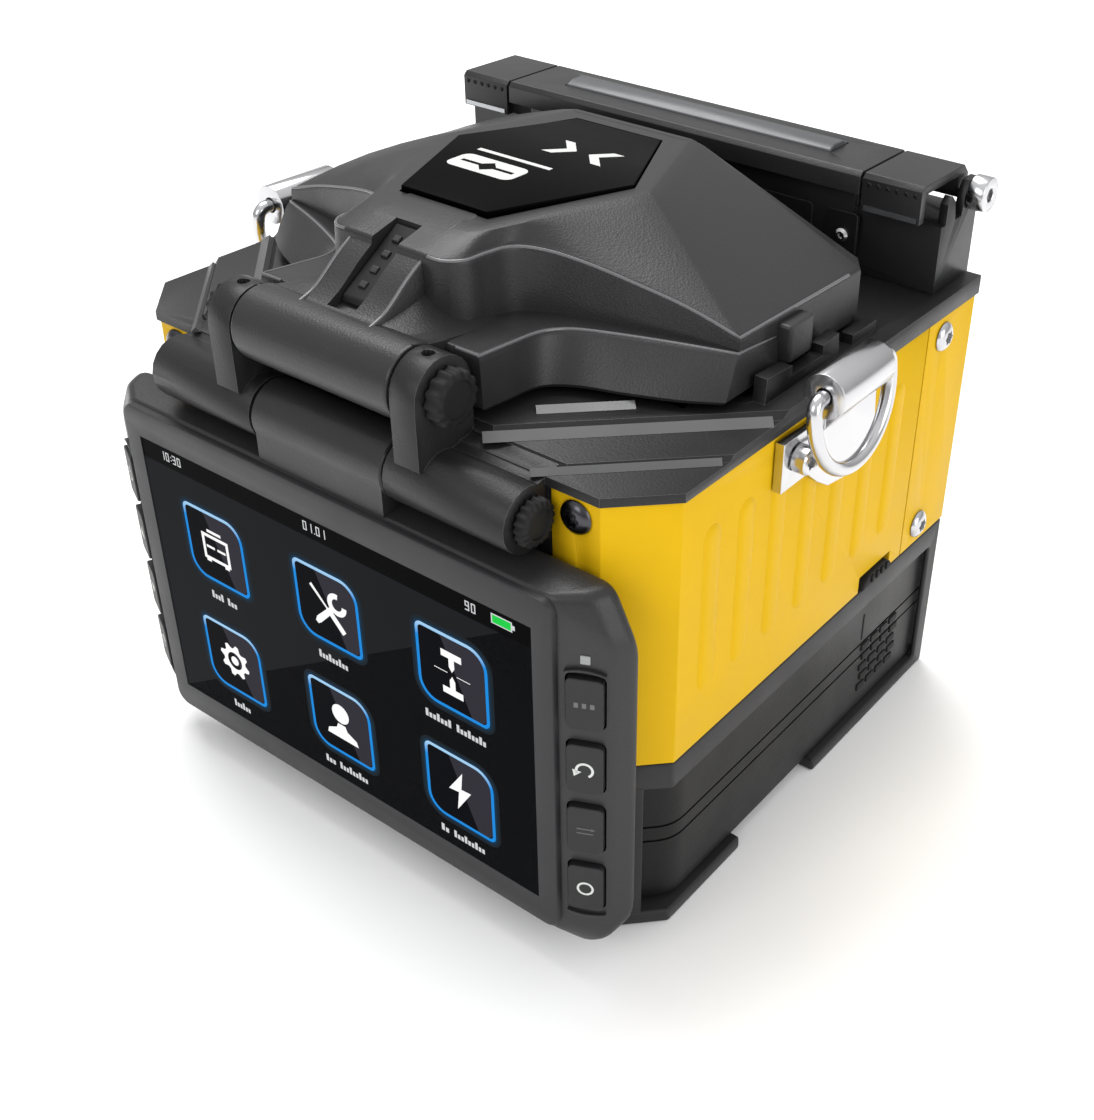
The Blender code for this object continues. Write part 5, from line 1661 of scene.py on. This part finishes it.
# ---------------------------------------------------------------- heater
@dataclass
class Heater(Assembly):
    """The sleeve heater on its tower."""

    front: float = 45.0
    clamp_x: Point2 = (50.6, 63.2)
    strip_z: Point2 = (126.5, 127.5)
    rivet_count: int = 6
    rivet_pitch: float = 2.2
    rivet_start: Point2 = (51.5, 132.3)

    def build(self) -> None:
        """Makes the tower, the lid, the end clamps and their trim."""
        self.carry("heater_tower", Stock.TOWER, 0.5)
        self.carry("heater_plate", Stock.BRUSHED, 0.2)
        self.carry("heater_lid", Stock.LID, 0.5, 3)
        self.carry("heater_window", Stock.SMOKE, 0.4, 3)
        self.carry("heater_hinge_screw", Stock.CHROME, 0.2)
        for side, sign in SIDES.items():
            self.carry(f"heater_clamp_{side}", Stock.LID, 0.7, 3)
            self.clamp_trim(side, sign)
        self.tower_trim()

    def clamp_trim(self, side: str, sign: int) -> None:
        """Adds the bright strip and the row of rivets on one end clamp."""
        x0, x1 = sorted(sign * x for x in self.clamp_x)
        low, high = self.strip_z
        strip = Shape.box((x0, self.front - 0.25, low), (x1, self.front + 1.2, high))
        self.add(f"clamp_strip_{side}", strip, Stock.BRUSHED, f"heater_clamp_{side}")
        rivets = []
        for i in range(self.rivet_count):
            x = sign * (self.rivet_start[0] + self.rivet_pitch * i)
            steps = [(self.front + 0.4, 0.55, 0.0), (self.front - 0.05, 0.55, 0.0),
                     (self.front - 0.3, 0.3, 0.0)]
            rivets.append(Shape.turned(steps, (x, self.rivet_start[1]), "y", 12))
        self.add(f"clamp_rivets_{side}", Shape.joined(*rivets), Stock.PACK, f"heater_clamp_{side}")

    def tower_trim(self) -> None:
        """Adds the tower's raised front plate and the screws that hold it."""
        plates = []
        for left, right in ((-36.0, 36.0), (39.5, 47.5), (-47.5, -39.5)):
            plan = Shape.rounded((left, 112.5), (right, 123.5), (1.0,) * 4, 4)
            plates.append(Shape.prism(plan, 48.9, 50.0, "y"))
        self.add("tower_front_plate", Shape.joined(*plates), Stock.TOWER, "chassis", (), 0.25)
        heads = []
        for x, z in ((44.0, 118.0), (-44.0, 118.0)):
            steps = [(49.4, 1.6, 0.0), (48.5, 1.6, 0.0), (48.0, 1.0, 0.0), (48.0, 0.6, 0.1), (48.4, 0.5, 0.1)]
            heads.append(Shape.turned(steps, (x, z), "y", 24))
        self.add("tower_plate_screws", Shape.joined(*heads), Stock.CHROME, "chassis")


# ---------------------------------------------------------------- studio
@dataclass
class Studio:
    """The floor, the lights and the camera."""

    eye: Point3 = (189.56, -220.25, 238.49)
    azimuth: float = 34.974
    elevation: float = 32.5715
    roll: float = 1.8938
    lens: float = 46.89
    shift: Point2 = (-0.1131, -0.0433)
    floor_reach: float = 30.0
    room_glow: Point2 = (0.42, 0.92)
    panels: tuple[tuple[str, Point3, float, float], ...] = (
        ("overhead", (-0.45, 0.25, 1.2), 0.8, 13.0),
        ("front", (-0.1, -1.3, 0.9), 0.7, 5.0),
        ("side", (1.4, -0.2, 0.55), 0.9, 7.4),
    )

    def build(self) -> None:
        """Sets up the whole studio."""
        self.floor()
        self.light()
        self.camera()

    def floor(self) -> None:
        """Lays a plain white floor."""
        bm = bmesh.new()
        bmesh.ops.create_grid(bm, x_segments=1, y_segments=1, size=self.floor_reach)
        mesh = bpy.data.meshes.new("studio_floor")
        bm.to_mesh(mesh)
        bm.free()
        floor = bpy.data.objects.new("studio_floor", mesh)
        bpy.context.scene.collection.objects.link(floor)
        paper = Finish("seamless_paper_white", "ffffff", 0.9, shade_drift=0.0, drift_mm=400.0, specular=0.1)
        mesh.materials.append(paper.material())

    def light(self) -> None:
        """Hangs three large soft lights in a bright white room."""
        scene = bpy.context.scene
        scene.view_settings.view_transform = "Standard"
        world = bpy.data.worlds.new("white_room")
        world.use_nodes = True
        tree = world.node_tree
        sky = tree.nodes["Background"]
        sky.inputs["Color"].default_value = (1.0, 1.0, 1.0, 1.0)
        place = add_node(tree, "ShaderNodeTexCoord")
        split = add_node(tree, "ShaderNodeSeparateXYZ", None, {"Vector": place.outputs["Generated"]})
        low, high = self.room_glow
        limits = {"From Min": 0.0, "From Max": 0.9, "To Min": low, "To Max": high}
        rise = add_node(tree, "ShaderNodeMapRange", limits, {"Value": split.outputs["Z"]})
        tree.links.new(rise.outputs["Result"], sky.inputs["Strength"])
        scene.world = world
        for name, at, size, power in self.panels:
            self.panel_light(name, at, size, power)

    @staticmethod
    def panel_light(name: str, at: Point3, size: float, power: float) -> None:
        """Hangs one square light that faces the object.

        Args:
            name: The light's name.
            at: Where it hangs, in metres.
            size: Its side, in metres.
            power: Its power in watts.
        """
        data = bpy.data.lights.new(name, "AREA")
        data.shape, data.size, data.energy = "SQUARE", size, power
        lamp = bpy.data.objects.new(name, data)
        lamp.location = at
        away = Vector(at) - Vector((0, 0, 0.07))
        lamp.rotation_euler = away.to_track_quat("Z", "Y").to_euler()
        bpy.context.scene.collection.objects.link(lamp)

    def camera(self) -> None:
        """Sets the camera."""
        az, el, roll = (math.radians(a) for a in (self.azimuth, self.elevation, self.roll))
        back = Vector((math.sin(az) * math.cos(el), -math.cos(az) * math.cos(el), math.sin(el)))
        right = Vector((math.cos(az), math.sin(az), 0))
        up = back.cross(right)
        across = math.cos(roll) * right + math.sin(roll) * up
        tall = -math.sin(roll) * right + math.cos(roll) * up
        data = bpy.data.cameras.new("camera")
        data.lens, data.sensor_width = self.lens, 36.0
        data.shift_x, data.shift_y = self.shift
        data.clip_start = 0.01
        camera = bpy.data.objects.new("camera", data)
        turn = Matrix((across, tall, back)).transposed().to_4x4()
        camera.matrix_world = Matrix.Translation(Vector(self.eye) * MM) @ turn
        bpy.context.scene.collection.objects.link(camera)
        bpy.context.scene.camera = camera


def main() -> None:
    logging.basicConfig(level=logging.INFO, format="%(name)s: %(message)s")
    assemblies = (Chassis(), StrapRings(), Deck(), SplicingUnit(), Monitor(), WindCover(), Heater())
    for assembly in assemblies:
        assembly.build()
        for piece in assembly.pieces:
            LOG.info("%s made %s", type(assembly).__name__, piece)
    Studio().build()


if __name__ == "__main__":
    main()
